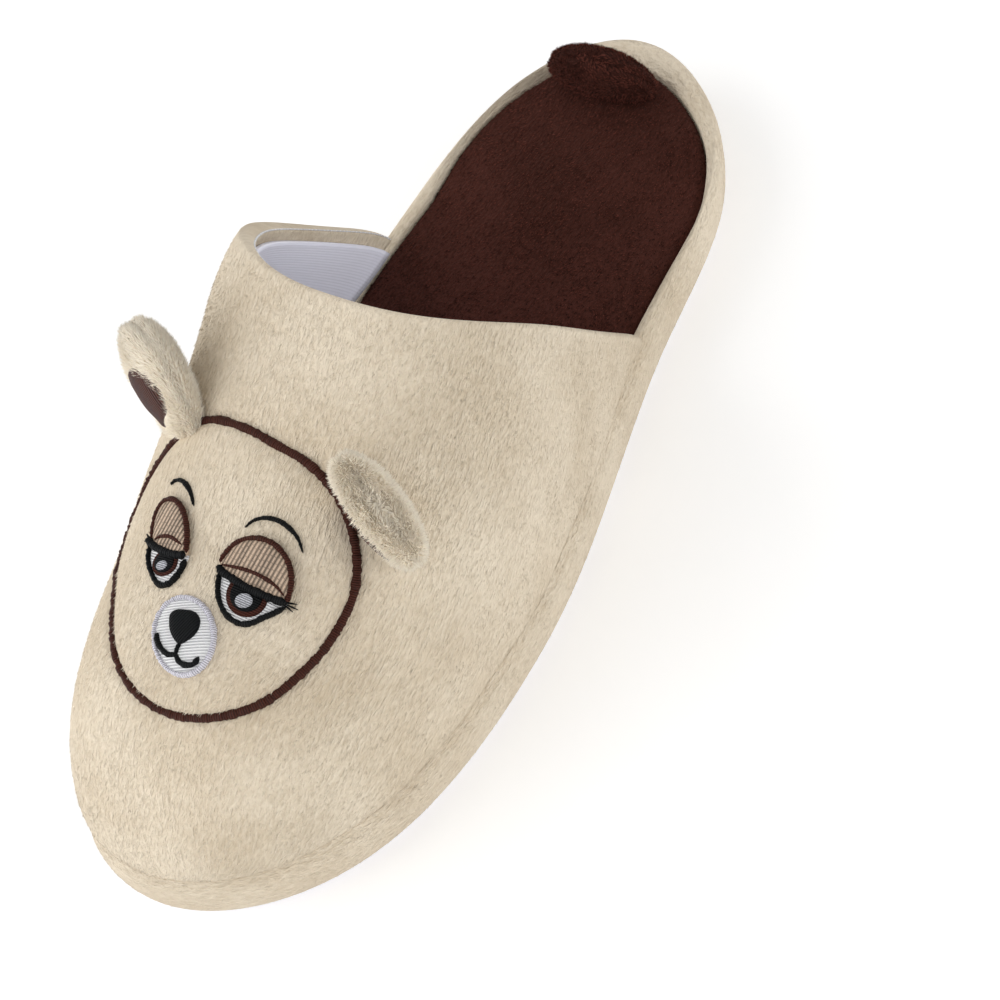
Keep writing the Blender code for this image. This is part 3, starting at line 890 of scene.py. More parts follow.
def lobe_surface(lean, size, angle, share, seam=0.0009):
    """Stuffed lobe round its foot's middle: width along cos(angle) and thickness along sin(angle),
    both from the lobe's table, with a seam drawn in where the front meets the back."""
    tip, front, across = lobe_axes(lean)
    width, length, thickness = size
    wide = smooth(share, column(LOBE, 0), column(LOBE, 1)) * width / 2
    thick = smooth(share, column(LOBE, 0), column(LOBE, 2)) * thickness / 2
    sideways = np.cos(angle) * wide
    forward = np.sin(angle) * thick
    drawn = seam * np.exp(-(forward / 0.0010) ** 2)
    size_here = np.maximum(np.hypot(sideways, forward), 1e-6)
    keep = np.clip(1 - drawn / size_here, 0.3, 1.0)
    way = length * share - drawn * step(share, 0.75, 1.0)
    return (
        across * (sideways * keep)[..., None]
        + front * (forward * keep)[..., None]
        + tip * way[..., None]
    )


def lobe_grid(start, lean, size, around, along, foot):
    """Grid of a lobe from its foot to its tip. The foot's rows run down to a seat height function."""
    angle = np.linspace(0.0, 2 * math.pi, around, endpoint=False)[None, :]
    share = np.linspace(0.0, 1.0, along)
    share = (1 - (1 - share) ** 1.6)[:, None]
    points = lobe_surface(lean, size, angle + 0 * share, share + 0 * angle) + np.array(start)
    tip = lobe_axes(lean)[0]
    way = np.zeros(around)
    for _ in range(8):
        low = points[0] + tip * way[:, None]
        way -= (low[:, 2] - foot(low[:, 0], low[:, 1])) / max(tip[2], 0.4)
    return points + tip * (way[None, :] * (1 - share))[..., None]


def foot_on_upper(x, y):
    """Height of the upper's skin, a little inside the pile."""
    return drape_plan(x, y)[0][..., 2] - 0.0006


def insole_height(x, y, turn, share):
    """Top of the insole: its edge level, a crown across it and a rounded edge."""
    crown = INSOLE_CROWN * (1 - (2 * share - 1) ** 2) * np.sqrt(np.clip(np.sin(turn), 0, 1))
    dents = 0.0005 * waves(np.stack([x, y, 0 * x], -1), 0.05, 11)
    return SOLE_HEIGHT + INSOLE_RIM_SHARE * heel_rim(y) + toe_lift(y) + crown + dents


def insole_grid(around, across):
    """Top of the insole: rows from toe to heel, columns from the lateral to the medial edge."""
    turn = np.linspace(0.0, math.pi, around)
    lateral = outline(turn, -1, insole_inset(turn, -1))
    medial = outline(turn, 1, insole_inset(turn, 1))
    share = (0.5 - 0.5 * np.cos(np.linspace(0, math.pi, across)))[None, :, None]
    plan = lateral[:, None] * (1 - share) + medial[:, None] * share
    wide = np.linalg.norm(medial - lateral, axis=1)[:, None]
    edge = np.minimum(share[..., 0], 1 - share[..., 0]) * wide
    back = np.minimum(plan[..., 1] - plan[0, :, 1].min(), plan[-1, :, 1].max() - plan[..., 1])
    edge = np.minimum(edge, np.clip(back, 0, None))
    z = insole_height(plan[..., 0], plan[..., 1], turn[:, None], share[..., 0] + 0 * turn[:, None])
    z = z - INSOLE_EDGE_DROP * (1 - np.clip(edge / INSOLE_EDGE_RUN, 0, 1)) ** 2
    return np.concatenate([plan, z[..., None]], -1)


def foot_on_insole(x, y):
    """Height of the insole near the heel, a little inside its pile."""
    return SOLE_HEIGHT + INSOLE_RIM_SHARE * heel_rim(y) + 0.0004 + 0 * x


def tail_start():
    y = LENGTH / 2 - INSOLE_BACK_INSET - TAIL_SETBACK
    return (TAIL_OFFSET, y, SOLE_HEIGHT + 0.0010)


def ear_start(place):
    """Middle of an ear's foot on the upper's skin."""
    x = place[0] * BALL_WIDTH
    y = (place[1] - 0.5) * LENGTH
    return drape_plan(np.array([x]), np.array([y]))[0][0]


def ear_grid(place, lean):
    return lobe_grid(ear_start(place), lean, EAR_SIZE, 72, 40, foot_on_upper)


def tail_grid():
    return lobe_grid(tail_start(), TAIL_LEAN, TAIL_SIZE, 72, 32, foot_on_insole)


# Embroidery

def spun(x, y, degrees):
    """Flat places turned by some degrees."""
    cosine, sine = math.cos(math.radians(degrees)), math.sin(math.radians(degrees))
    return np.stack([x * cosine - y * sine, x * sine + y * cosine], -1)


def satin_line(name, path, width, finish, height, lift=0.0, taper=0.5, closed=False):
    """A line of satin stitch: an oval section carried along a path on the skin. A point is
    skin + across (width/2) cos(a) t + normal (lift + height sin(a) t), where t narrows to the ends."""
    path = np.asarray(path, float)
    rough = np.linalg.norm(np.diff(path, axis=0), axis=1).sum() * FACE_RADIUS
    plan = spline(path, max(12, int(rough / 0.00042)), closed)
    skin, normal = drape(plan[:, 0], plan[:, 1])
    way = way_along(skin)
    if closed:
        along = unit(np.roll(skin, -1, 0) - np.roll(skin, 1, 0))
        narrow = np.ones(len(plan))
    else:
        along = unit(np.gradient(skin, axis=0))
        narrow = np.clip(np.minimum(way, way[-1] - way) / way[-1] / taper, 0, 1) ** 0.5
    across = unit(np.cross(normal, along))
    jitter = 1 + 0.17 * np.random.default_rng(1).uniform(-1, 1, len(plan))
    section = np.linspace(0.0, 2 * math.pi, 12, endpoint=False)
    rise = np.where(np.sin(section) > 0, np.sin(section), 0.35 * np.sin(section))
    wide = (width / 2 * jitter * narrow)[:, None] * np.cos(section)
    tall = lift + (height * (0.5 + 0.5 * narrow) * jitter)[:, None] * rise * (narrow > 0.02)[:, None]
    points = skin[:, None] + across[:, None] * wide[..., None] + normal[:, None] * tall[..., None]
    uv = np.stack([wide, way[:, None] + 0 * wide], -1)
    if closed:
        points = np.concatenate([points, points[:1]])
        uv = np.concatenate([uv, uv[:1]])
        uv[-1, :, 1] = way[-1] + (way[1] - way[0])
    else:
        ends = [np.repeat(end.mean(1, keepdims=True), 12, 1) for end in (points[:1], points[-1:])]
        points = np.concatenate([ends[0], points, ends[1]])
        uv = np.concatenate([uv[:1], uv, uv[-1:]])
    mesh = build_mesh(name, points, grid_faces(len(points), 12, wrap=True), uv)
    place_piece(name, mesh, [finish])


def oval(middle, wide, tall, degrees, count=40):
    """Plan points of an oval whose wide axis is turned by some degrees."""
    a = np.linspace(0.0, 2 * math.pi, count, endpoint=False)
    return np.array(middle) + spun(wide * np.cos(a), tall * np.sin(a), degrees)


def satin_patch(name, edge, finish, height, lift=0.0, degrees=0.0):
    """A filled shape of satin stitch: rings from its middle to its edge, raised by
    lift + height sqrt(1 - share^6), and closed under the skin."""
    ring = spline(edge, 96, closed=True)
    middle = ring.mean(0)
    share = np.array([0.0, 0.18, 0.36, 0.54, 0.70, 0.83, 0.92, 0.97, 1.0, 1.0, 0.6, 0.0])
    rise = lift + height * np.sqrt(np.clip(1 - share**6, 0, 1))
    rise[-3:] = -0.0003
    rise[-4] = lift
    plan = middle + share[:, None, None] * (ring[None] - middle)
    skin, normal = drape(plan[..., 0], plan[..., 1])
    points = skin + normal * rise[:, None, None]
    flat = (plan - middle) * FACE_RADIUS
    uv = spun(flat[..., 0], flat[..., 1], -degrees)
    mesh = build_mesh(name, points, grid_faces(len(share), 96, wrap=True), uv)
    place_piece(name, mesh, [finish])


def ring_path():
    """The face ring as plan shares, from its radius table."""
    a = np.linspace(0.0, 2 * math.pi, 48, endpoint=False)
    return ring_radius(a)[:, None] * np.stack([np.cos(a), np.sin(a)], 1)


def eye_white(eye):
    """Edge of the white of an eye: along the lash line and back by the lower edge."""
    return list(eye["lash"]) + list(eye["lower"][1:-1])[::-1]


def eye_lid(eye):
    """Edge of an eyelid: over the lid and back along the lash line."""
    return list(eye["lid"]) + list(eye["lash"][1:-1])[::-1]


def covered(across, up):
    """True where the face's embroidery covers the cloth, so that no pile grows through it."""
    place = np.stack([across, up], -1)
    hidden = np.zeros(len(place), bool)
    filled = [oval(*MUZZLE)]
    lines = [(spline(ring_path(), 240, True), 0.3 * RING_WIDTH)]
    for eye in EYES.values():
        filled += [spline(eye_white(eye), 60, True), spline(eye_lid(eye), 60, True)]
        lines += [(spline(eye[part], 40), 0.38 * LINE_WIDTH) for part in ("lid", "lash", "lower", "brow")]
    for edge in filled:
        after = np.roll(edge, -1, 0)
        crossing = (edge[:, 1] > place[:, 1:2]) != (after[:, 1] > place[:, 1:2])
        rise = np.where(after[:, 1] == edge[:, 1], 1e-12, after[:, 1] - edge[:, 1])
        at = edge[:, 0] + (place[:, 1:2] - edge[:, 1]) * (after[:, 0] - edge[:, 0]) / rise
        hidden |= (crossing & (place[:, 0:1] < at)).sum(1) % 2 == 1
    for line, half in lines:
        far = np.min(np.hypot(place[:, 0:1] - line[:, 0], place[:, 1:2] - line[:, 1]), 1)
        hidden |= far * FACE_RADIUS < half
    return hidden


def under_stitches(roots, normals):
    """True for the tufts whose roots are under the face's embroidery."""
    across, up = face_shares(roots[:, 0], roots[:, 1])
    near = (np.hypot(across, up) < 1.4) & (normals[:, 2] > 0)
    near[near] = covered(across[near], up[near])
    return near


def under_patch(roots, foot, lean):
    """True on the oval that an ear's patch covers on its front, measured from the ear's foot."""
    tip, front, across = lobe_axes(lean)
    way = roots - foot
    share = ((way @ across) / (EAR_SIZE[0] * 0.38)) ** 2
    share += ((way @ tip - EAR_SIZE[1] * 0.26) / (EAR_SIZE[1] * 0.34)) ** 2
    return (way @ front > 0) & (share < 0.9)


def grow_pile(name, surface, finishes, count, seed, shape, ruffle=0.16, weight=None, bare=None):
    """Shows the pile of a surface, given as points, normals and flow, except where it is bare. Its
    shape is the length, width and lean of a tuft."""
    roots, normals, flows = scatter(*surface, count, seed, weight)
    if bare is not None:
        keep = ~bare(roots, normals)
        roots, normals, flows = roots[keep], normals[keep], flows[keep]
    mesh = pile_mesh(name, roots, normals, flows, *shape, seed + 10, ruffle)
    place_piece(name, mesh, finishes)


# Add-on

def colour_setting(name, description, default):
    return FloatVectorProperty(
        name=name, description=description, subtype="COLOR", size=3, min=0.0, max=1.0, default=default
    )


def length_setting(name, description, low, high, default):
    return FloatProperty(
        name=name, description=description, unit="LENGTH", min=low, max=high, default=default
    )


def count_setting(name, description, default):
    return IntProperty(name=name, description=description, min=0, max=50000, default=default)


class SlipperLook(PropertyGroup):
    """Sizes and colours that a user would change."""

    cream: colour_setting("Cream plush", "Colour of the upper and band", (0.80, 0.695, 0.545))
    # The ear plush is paler than the upper partly in its own colour and partly as painted light: it is
    # raised to make up for the little light that reaches the ears from the side
    ear: colour_setting("Ear plush", "Colour of the ears, paler than the upper", (0.98, 0.88, 0.73))
    brown: colour_setting("Brown plush", "Colour of the insole and tail", (0.066, 0.0195, 0.0135))
    lining: colour_setting("Lining", "Colour of the lining and outsole", (0.88, 0.88, 0.99))
    thread: colour_setting("Brown thread", "Colour of the ring and lid outlines", (0.062, 0.015, 0.008))
    pile_length: length_setting("Pile length", "Length of the upper's tufts", 0.0005, 0.008, 0.0015)
    pile_width: length_setting("Pile width", "Width of a tuft at its root", 0.0001, 0.002, 0.00040)
    pile_lean: FloatProperty(
        name="Pile lean", description="Angle of the tufts over the cloth, in degrees",
        min=5.0, max=90.0, default=19.0,
    )
    upper_tufts: count_setting("Upper tufts", "Number of tufts on the upper", 49000)
    band_tufts: count_setting("Band tufts", "Number of tufts on the sole band", 34000)
    insole_tufts: count_setting("Insole tufts", "Number of tufts on the insole", 46000)
    dot_pitch: length_setting("Dot pitch", "Spacing of the outsole's grip dots", 0.003, 0.02, 0.0066)


def look():
    return bpy.context.scene.slipper_look


class SLIPPER_OT_upper(Operator):
    """Plush shell of the upper, with its puffed face and folded collar, and the lining inside it"""

    bl_idname = "slipper.upper"
    bl_label = "Upper and lining"

    def execute(self, context):
        skin, normal = upper_grid(200, 150)
        share = np.linspace(0.0, 1.0, skin.shape[1])[None, :]
        edge_way = unit(skin[:, -1] - skin[:, -2])
        full = 0.8 * collar_swell(skin, normal) * step(share, 0.80, 0.97)
        thick = 0.0018 + 0.0006 * step(share, 0.965, 0.99) + full
        self.shell(skin, normal, thick, edge_way)
        self.stitches(skin, normal, thick, edge_way)
        self.lining(skin - normal * full[..., None], normal)
        return {"FINISHED"}

    @staticmethod
    def shell(skin, normal, thick, edge_way):
        """Outer cloth, rolled over the collar's edge and back on its inside."""
        inner = skin - normal * thick[..., None]
        roll = np.linspace(0.0, math.pi, 9)[1:-1, None]
        middle = (skin[:, -1:] + inner[:, -1:]) / 2
        half = (skin[:, -1:] - inner[:, -1:]) / 2
        arc = middle + half * np.cos(roll) + edge_way[:, None] * (COLLAR_ROLL * np.sin(roll))
        path = np.concatenate([skin, arc, inner[:, ::-1]], 1)
        rows, columns = path.shape[:2]
        around = way_along(path)
        around = around - around[rows // 2]
        uv = np.stack([np.broadcast_to(way_along(path[rows // 2]), around.shape), around], -1)
        mesh = build_mesh("upper_plush", path, folded_faces(rows, columns), uv)
        place_piece("upper_plush", mesh, [cream_cloth()], ["upper"])

    @staticmethod
    def stitches(skin, normal, thick, edge_way):
        """Pale stitches inside the collar's edge: a cord that swells and narrows with each stitch."""
        edge = skin[:, -1] - normal[:, -1] * (thick[:, -1:] - 0.0005) + edge_way * 0.0009
        way = way_along(edge)
        fine = np.linspace(0.0, way[-1], 900)
        edge, inward, edge_out = [
            np.stack([np.interp(fine, way, each[:, k]) for k in range(3)], 1)[:, None]
            for each in (edge, normal[:, -1], edge_way)
        ]
        bead = COLLAR_BEAD * (0.75 + 0.25 * np.cos(fine * 2 * math.pi / COLLAR_STITCH))
        a = np.linspace(0.0, 2 * math.pi, 8, endpoint=False)
        spin = inward * np.cos(a)[:, None] + edge_out * np.sin(a)[:, None]
        cord = edge + bead[:, None, None] * spin
        cord = np.concatenate([np.repeat(edge[:1], 8, 1), cord, np.repeat(edge[-1:], 8, 1)])
        uv = np.stack(np.meshgrid(np.concatenate([[0], fine, [way[-1]]]), 0.0003 * a, indexing="ij"), -1)
        white = thread_material("collar_thread", (0.86, 0.84, 0.84), 0.0009, 0.003, 0.8)
        mesh = build_mesh("collar_stitch", cord, grid_faces(len(cord), 8, wrap=True), uv[..., ::-1])
        place_piece("collar_stitch", mesh, [white])

    @staticmethod
    def lining(skin, normal):
        """Knitted lining, a little inside the outer cloth and short of the collar's edge."""
        last = skin.shape[1] - 2
        outer = (skin - normal * 0.0026)[:, :last]
        within = (skin - normal * (UPPER_WALL + 0.0009))[:, :last]
        path = np.concatenate([outer, within[:, ::-1]], 1)
        rows, columns = path.shape[:2]
        uv = np.stack(np.meshgrid(np.linspace(0.0, 0.30, columns), np.linspace(0.0, 0.19, rows)), -1)
        knit = knit_material("lining_knit", tuple(look().lining), "cloth", 0.0006, 0.93, 0.00008)
        mesh = build_mesh("upper_lining", path, folded_faces(rows, columns), uv)
        place_piece("upper_lining", mesh, [knit], ["upper"])


class SLIPPER_OT_sole_band(Operator):
    """Plush-wrapped sole band with its recess and heel rim"""

    bl_idname = "slipper.sole_band"
    bl_label = "Sole band"

    def execute(self, context):
        turn = np.linspace(0.0, math.pi, 181)
        sides = []
        for side in (1, -1):
            wall = band_profile(turn, side, 18)
            recess = outline(turn, side, insole_inset(turn, side) - 0.0004)
            rim = SOLE_HEIGHT + RECESS_RIM_SHARE * heel_rim(recess[:, 1]) + toe_lift(recess[:, 1])
            top = wall[:, -1]
            rows = [wall]
            for share in (0.3, 0.6, 0.85, 1.0):
                plan = top[:, :2] * (1 - share) + recess * share
                level = top[:, 2] * (1 - share) + rim * share
                swell = 0.0009 * math.sin(math.pi * min(share, 0.9))
                rows.append(np.concatenate([plan, (level + swell)[:, None]], 1)[:, None])
            floor = SOLE_HEIGHT - INSOLE_THICKNESS + toe_lift(recess[:, 1])
            rows.append(np.concatenate([recess, floor[:, None]], 1)[:, None])
            sides.append(np.concatenate(rows, 1))
        columns = sides[0].shape[1]
        ring = np.concatenate([sides[0], sides[1][::-1]])
        count = len(ring)
        index = np.arange(count * columns).reshape(count, columns)
        half = len(turn)
        caps = [strip_faces(index[:half, place], index[half:, place][::-1]) for place in (0, -1)]
        faces = np.concatenate([grid_faces(count, columns)] + caps)
        uv = np.stack(np.meshgrid(way_along(ring[60]), way_along(ring[:, 8])), -1)[..., ::-1]
        mesh = build_mesh("band_plush", ring, faces, uv)
        place_piece("band_plush", mesh, [cream_cloth()], ["sole_band"])
        return {"FINISHED"}


class SLIPPER_OT_insole(Operator):
    """Padded insole of brown plush with a rounded edge"""

    bl_idname = "slipper.insole"
    bl_label = "Insole"

    def execute(self, context):
        top = insole_grid(181, 61)
        bottom = top.copy()
        bottom[..., 2] = SOLE_HEIGHT - INSOLE_THICKNESS + 2 * GAP + toe_lift(top[..., 1])
        rows, columns = top.shape[:2]
        points = np.concatenate([top.reshape(-1, 3), bottom.reshape(-1, 3)])
        faces = grid_faces(rows, columns)
        index = np.arange(rows * columns).reshape(rows, columns)
        walls = [strip_faces(edge, edge + rows * columns) for edge in (index[:, 0], index[:, -1])]
        faces = np.concatenate([faces, faces + rows * columns] + walls)
        uv = np.concatenate([top.reshape(-1, 3)[:, [1, 0]]] * 2)
        mesh = build_mesh("insole_plush", points, faces, uv)
        place_piece("insole_plush", mesh, [brown_cloth()], ["insole"])
        return {"FINISHED"}


class SLIPPER_OT_stuffed(Operator):
    """The two stuffed ears, their brown inner patches and the tail tab"""

    bl_idname = "slipper.stuffed"
    bl_label = "Ears and tail"

    def execute(self, context):
        # The ear cloth's paler colour is partly painted light, and its last number sets the painted shade
        # between its tufts
        pale = plush_material("ear_plush_cloth", tuple(look().ear), 0.73)
        thread = thread_material("ear_thread", (0.085, 0.022, 0.013), 0.00090, 0.0018, 0.22, 0.0008, 0.2)
        for label, place, lean in EARS:
            name = "ear_" + label
            self.lobe(name + "_plush", ear_grid(place, lean), pale, "cream_plush", name)
            self.patch(name + "_patch", place, lean, thread)
        self.lobe("tail_plush", tail_grid(), brown_cloth(), "brown_plush", "tail")
        return {"FINISHED"}

    @staticmethod
    def lobe(name, grid, finish, slot, node):
        rows, columns = grid.shape[:2]
        middle = grid[:1].mean(1, keepdims=True)
        points = np.concatenate([np.repeat(middle, columns, 1), grid])
        uv = np.stack(np.meshgrid(way_along(points[:, 0]), np.linspace(0, 0.06, columns), indexing="ij"), -1)
        mesh = build_mesh(name, points, grid_faces(rows + 1, columns, wrap=True), uv)
        place_piece(name, mesh, [finish], [node])

    @staticmethod
    def patch(name, place, lean, finish):
        """Oval patch on an ear's front: rings round the middle of its face, a little proud of it."""
        rings = np.array([0.0, 0.3, 0.6, 0.82, 0.94, 1.0, 1.0, 0.0])
        rise = np.array([1.0, 1.0, 0.98, 0.9, 0.7, 0.3, -0.6, -0.6]) * 0.0009
        a = np.linspace(0.0, 2 * math.pi, 64, endpoint=False)
        angle = math.pi / 2 + 0.15 + rings[:, None] * 0.72 * np.cos(a)
        share = 0.26 + rings[:, None] * 0.34 * np.sin(a)
        start = ear_start(place)
        points = lobe_surface(lean, EAR_SIZE, angle, share, 0.0) + start
        tip, front, across = lobe_axes(lean)
        outward = unit(front * np.sin(angle)[..., None] + across * np.cos(angle)[..., None])
        points = points + outward * rise[:, None, None]
        flat = points - start
        uv = np.stack([flat @ tip, flat @ across], -1)
        mesh = build_mesh(name, points, grid_faces(len(rings), 64, wrap=True), uv)
        place_piece(name, mesh, [finish])


class SLIPPER_OT_outsole(Operator):
    """Knitted finish of the outsole and its raised grip dots"""

    bl_idname = "slipper.outsole"
    bl_label = "Outsole and grip dots"

    def execute(self, context):
        knit = knit_material("outsole_knit", tuple(look().lining), "object", 0.0010, 0.8, 0.0003)
        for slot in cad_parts["outsole"].material_slots:
            slot.material = knit
        pitch = look().dot_pitch
        rows = np.arange(-LENGTH / 2, LENGTH / 2, pitch * 0.87)
        places = []
        for number, y in enumerate(rows):
            x = np.arange(-BALL_WIDTH, BALL_WIDTH, pitch) + (number % 2) * pitch / 2
            places.append(np.stack([x, 0 * x + y], 1))
        places = np.concatenate(places)
        turn = np.arccos(np.clip(-places[:, 1] / (LENGTH / 2), -1, 1))
        room = OUTSOLE_INSET + DOT_MARGIN
        inside = (places[:, 0] < half_width(turn, 1) - room) & (places[:, 0] > -half_width(turn, -1) + room)
        inside &= np.abs(places[:, 1]) < LENGTH / 2 - DOT_END_MARGIN
        places = places[inside]
        a = np.linspace(0.0, 2 * math.pi, 10, endpoint=False)
        rings = np.array(DOT_RINGS)
        ring = np.stack([rings[:, :1] * np.cos(a), rings[:, :1] * np.sin(a), 0 * a - rings[:, 1:]], -1)
        base = np.concatenate([places, toe_lift(places[:, 1:])], 1)
        points = base[:, None, None] + ring
        cap = np.array([[0, 1, 2, 3], [0, 3, 4, 9], [4, 5, 8, 9], [5, 6, 7, 8]])
        one = np.concatenate([grid_faces(4, 10, wrap=True), cap])
        start = (np.arange(len(places)) * 40)[:, None, None]
        faces = (one[None] + start).reshape(-1, 4)
        dots, tree, shader = new_material("dot_rubber", (0.74, 0.75, 0.88), 0.45, specular=0.5)
        raise_bump(tree, shader, noise_node(tree, coordinates(tree, "object"), 1500.0), 0.0001)
        mesh = build_mesh("grip_dots", points, faces)
        place_piece("grip_dots", mesh, [dots])
        return {"FINISHED"}


class SLIPPER_OT_face(Operator):
    """Embroidered face: ring, muzzle, nose, mouth, eyes, lashes and brows"""

    bl_idname = "slipper.face"
    bl_label = "Embroidered face"

    def execute(self, context):
        brown = thread_material("brown_thread", tuple(look().thread), 0.00050, 0.003, 0.5, 0.0003, 0.2)
        black = thread_material("black_thread", (0.005, 0.006, 0.007), 0.00050, 0.003, 0.4, specular=0.15)
        white = thread_material("white_thread", (0.90, 0.90, 0.93), 0.00060, 0.0016, 0.88)
        lilac = thread_material("lilac_thread", (0.80, 0.78, 0.86), 0.00045, 0.002, 0.85)
        tan = thread_material("tan_thread", (0.55, 0.41, 0.30), 0.00085, 0.0013, 0.34, 0.0006)
        silver = thread_material("silver_thread", (0.62, 0.63, 0.68), 0.00045, 0.0012, 0.4)
        middle, wide, tall, degrees = MUZZLE
        rim = oval(middle, wide * 0.97, tall * 0.97, degrees)
        satin_line("face_ring", ring_path(), RING_WIDTH, brown, 0.0012, closed=True)
        satin_patch("muzzle", oval(*MUZZLE), white, 0.0010, degrees=25.0)
        satin_line("muzzle_rim", rim, LINE_WIDTH, lilac, 0.0012, closed=True)
        satin_patch("nose", NOSE, black, 0.0010, 0.0008, 70.0)
        satin_line("mouth_stem", MOUTH_STEM, 0.0010, black, 0.0008, 0.0008, 0.15)
        satin_line("smile", SMILE, LINE_WIDTH, black, 0.0008, 0.0008, 0.06)
        for label, eye in EYES.items():
            name = "eye_" + label
            middle, radius = eye["iris"]
            pupil = oval(middle, radius * 0.78, radius * 0.78, 0)
            spot = (middle[0] + radius * 0.02, middle[1] - radius * 0.28)
            glint = oval(spot, radius * 0.42, radius * 0.34, 30)
            satin_patch(name + "_white", eye_white(eye), white, 0.0006)
            satin_patch(name + "_iris", oval(middle, radius, radius, 0), brown, 0.0004, 0.0006)
            satin_patch(name + "_pupil", pupil, black, 0.0004, 0.0009)
            satin_patch(name + "_glint", glint, silver, 0.0003, 0.0013)
            satin_patch(name + "_lid", eye_lid(eye), tan, 0.0009, 0.0008, 80.0)
            satin_line(name + "_lid_edge", eye["lid"], LINE_WIDTH, brown, 0.0009, 0.0009, 0.04)
            satin_line(name + "_crease", eye["crease"], 0.0009, brown, 0.0006, 0.0015, 0.3)
            satin_line(name + "_lower", eye["lower"], LINE_WIDTH, black, 0.0011, 0.0002, 0.06)
            satin_line(name + "_lash", eye["lash"], 0.0017, black, 0.0010, 0.0013, 0.06)
            for place, hair in enumerate(eye["hairs"]):
                satin_line(name + "_hair_%d" % place, hair, 0.0006, black, 0.0006, 0.0008, 0.9)
            satin_line(name + "_brow", eye["brow"], LINE_WIDTH, black, 0.0010)
        return {"FINISHED"}


class SLIPPER_OT_pile(Operator):
    """Tufts of the pile on the upper, band, insole, ears and tail"""

    bl_idname = "slipper.pile"
    bl_label = "Pile"

    def execute(self, context):
        sizes = look()
        length, width, lean = sizes.pile_length, sizes.pile_width, sizes.pile_lean
        cream = pile_materials("cream_pile", tuple(sizes.cream), (0.80, 0.98, 1.07))
        # The brown pile's light copy, 2.3 times its colour, is partly painted highlight: sheen on strands,
        # given to tufts at random; the rest of the spread is tone that differs at random
        brown = pile_materials("brown_pile", tuple(sizes.brown), (0.40, 1.0, 2.3))
        # The ear pile takes the ear colour, which is partly painted light
        pale = pile_materials("ear_pile", tuple(sizes.ear), (0.90, 1.0, 1.05))
        skin, normal = upper_grid(160, 140, first=0.02)
        cloth = (skin, normal, -np.gradient(skin, axis=1))
        shape = (length, width, lean)
        count = sizes.upper_tufts
        grow_pile("upper_pile", cloth, cream, count, 21, shape, bare=under_stitches)

        turn = np.linspace(0.0, math.pi, 200)
        wall = np.concatenate([band_profile(turn, 1, 24), band_profile(turn, -1, 24)[::-1]])
        flow = -np.gradient(wall, axis=0) * np.sign(np.linspace(1, -1, len(wall)))[:, None, None]
        flow[..., 2] -= 0.4 * np.linalg.norm(flow, axis=-1)
        cloth = (wall, grid_normals(wall, wall * (1, 1, 0)), flow)
        shape = (length * 0.8, width, lean)
        grow_pile("band_pile", cloth, cream, sizes.band_tufts, 22, shape)

        top = insole_grid(200, 60)
        cloth = (top, grid_normals(top, np.array([0.0, 0.0, 1.0])), -np.gradient(top, axis=0))
        shape = (length, width * 1.15, lean + 6)
        open_share = 0.12 + 0.88 * step(length_share(top[..., 1]), 0.34, 0.40)
        grow_pile("insole_pile", cloth, brown, sizes.insole_tufts, 23, shape, 0.4, open_share)

        shape = (length * 1.4, width, LOBE_LEAN)
        for number, (label, place, lean) in enumerate(EARS):
            cloth = self.lobe_cloth(ear_grid(place, lean))
            grow_pile(
                "ear_" + label + "_pile", cloth, pale, EAR_TUFTS, 34 + number, shape, 0.3,
                bare=lambda roots, normals: under_patch(roots, cloth[0][0].mean(0), lean),
            )
        shape = (length, width, LOBE_LEAN)
        cloth = self.lobe_cloth(tail_grid())
        grow_pile("tail_pile", cloth, brown, TAIL_TUFTS, 37, shape, 0.3)
        return {"FINISHED"}

    @staticmethod
    def lobe_cloth(grid):
        """Points, normals and flow towards the tip of a stuffed piece, closed round it."""
        wrapped = np.concatenate([grid, grid[:, :1]], 1)
        outward = wrapped - wrapped.mean(1, keepdims=True)
        return wrapped, grid_normals(wrapped, outward), np.gradient(wrapped, axis=0)


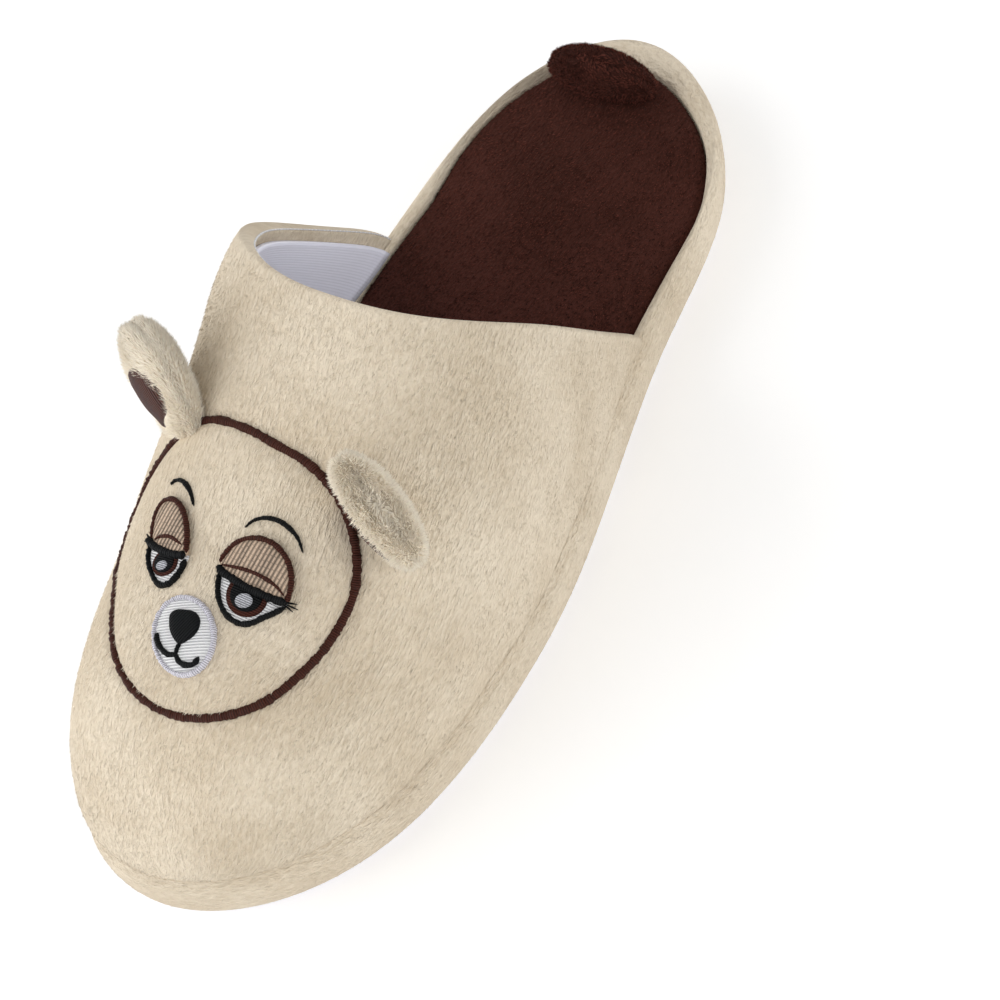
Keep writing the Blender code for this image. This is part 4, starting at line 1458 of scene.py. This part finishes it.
class SLIPPER_OT_stage(Operator):
    """Pale floor, soft studio lights and the camera"""

    bl_idname = "slipper.stage"
    bl_label = "Stage"

    def execute(self, context):
        corners = np.array([[-1, -1, 0], [1, -1, 0], [1, 1, 0], [-1, 1, 0]]) * FLOOR_REACH
        floor = build_mesh("floor", corners + (0, 0, FLOOR_LEVEL), np.array([[0, 1, 2, 3]]), weld=False)
        stage = bpy.data.objects.new("floor", floor)
        context.scene.collection.objects.link(stage)
        pale, _, shader = new_material("pale_floor", (FLOOR_TONE,) * 3, 0.9, specular=0.1)
        shader.inputs["Emission Color"].default_value = (1.0, 1.0, 1.0, 1.0)
        shader.inputs["Emission Strength"].default_value = FLOOR_GLOW
        floor.materials.append(pale)
        world = bpy.data.worlds.new("studio")
        world.use_nodes = True
        sky = world.node_tree.nodes["Background"]
        sky.inputs["Color"].default_value = (1.0, 1.0, 1.0, 1.0)
        sky.inputs["Strength"].default_value = SKY_STRENGTH
        context.scene.world = world
        context.scene.view_settings.view_transform = "Standard"
        for name, place, size, watts in LIGHTS:
            light = bpy.data.lights.new(name, "AREA")
            light.size = size
            light.energy = watts
            lamp = bpy.data.objects.new(name, light)
            context.scene.collection.objects.link(lamp)
            away = Vector(place) - Vector(LIGHT_AIM)
            lamp.matrix_world = Matrix.Translation(place) @ away.to_track_quat("Z", "Y").to_matrix().to_4x4()
        camera = bpy.data.cameras.new("camera")
        camera.lens = CAMERA_LENS
        camera.clip_start = 0.01
        viewer = bpy.data.objects.new("camera", camera)
        context.scene.collection.objects.link(viewer)
        azimuth, elevation, roll = (math.radians(a) for a in (CAMERA_AZIMUTH, CAMERA_ELEVATION, CAMERA_ROLL))
        turned = (
            Matrix.Rotation(azimuth, 4, "Z")
            @ Matrix.Rotation(math.pi / 2 - elevation, 4, "X")
            @ Matrix.Rotation(roll, 4, "Z")
        )
        viewer.matrix_world = Matrix.Translation(CAMERA_PLACE) @ turned
        context.scene.camera = viewer
        return {"FINISHED"}


class SLIPPER_PT_sidebar(Panel):
    """Lists the slipper's pieces in the 3D view's sidebar"""

    bl_idname = "SLIPPER_PT_sidebar"
    bl_label = "Plush slipper"
    bl_space_type = "VIEW_3D"
    bl_region_type = "UI"
    bl_category = "Slipper"

    def draw(self, context):
        for name in SlipperLook.__annotations__:
            self.layout.prop(context.scene.slipper_look, name)
        for operator in OPERATORS:
            self.layout.operator(operator.bl_idname)


OPERATORS = (
    SLIPPER_OT_upper,
    SLIPPER_OT_sole_band,
    SLIPPER_OT_insole,
    SLIPPER_OT_stuffed,
    SLIPPER_OT_outsole,
    SLIPPER_OT_face,
    SLIPPER_OT_pile,
    SLIPPER_OT_stage,
)
CLASSES = (SlipperLook,) + OPERATORS + (SLIPPER_PT_sidebar,)


def register():
    for each in CLASSES:
        bpy.utils.register_class(each)
    bpy.types.Scene.slipper_look = PointerProperty(type=SlipperLook)


def unregister():
    del bpy.types.Scene.slipper_look
    for each in reversed(CLASSES):
        bpy.utils.unregister_class(each)


def main():
    register()
    bpy.ops.slipper.upper()
    bpy.ops.slipper.sole_band()
    bpy.ops.slipper.insole()
    bpy.ops.slipper.stuffed()
    bpy.ops.slipper.outsole()
    bpy.ops.slipper.face()
    bpy.ops.slipper.pile()
    bpy.ops.slipper.stage()


if __name__ == "__main__":
    main()
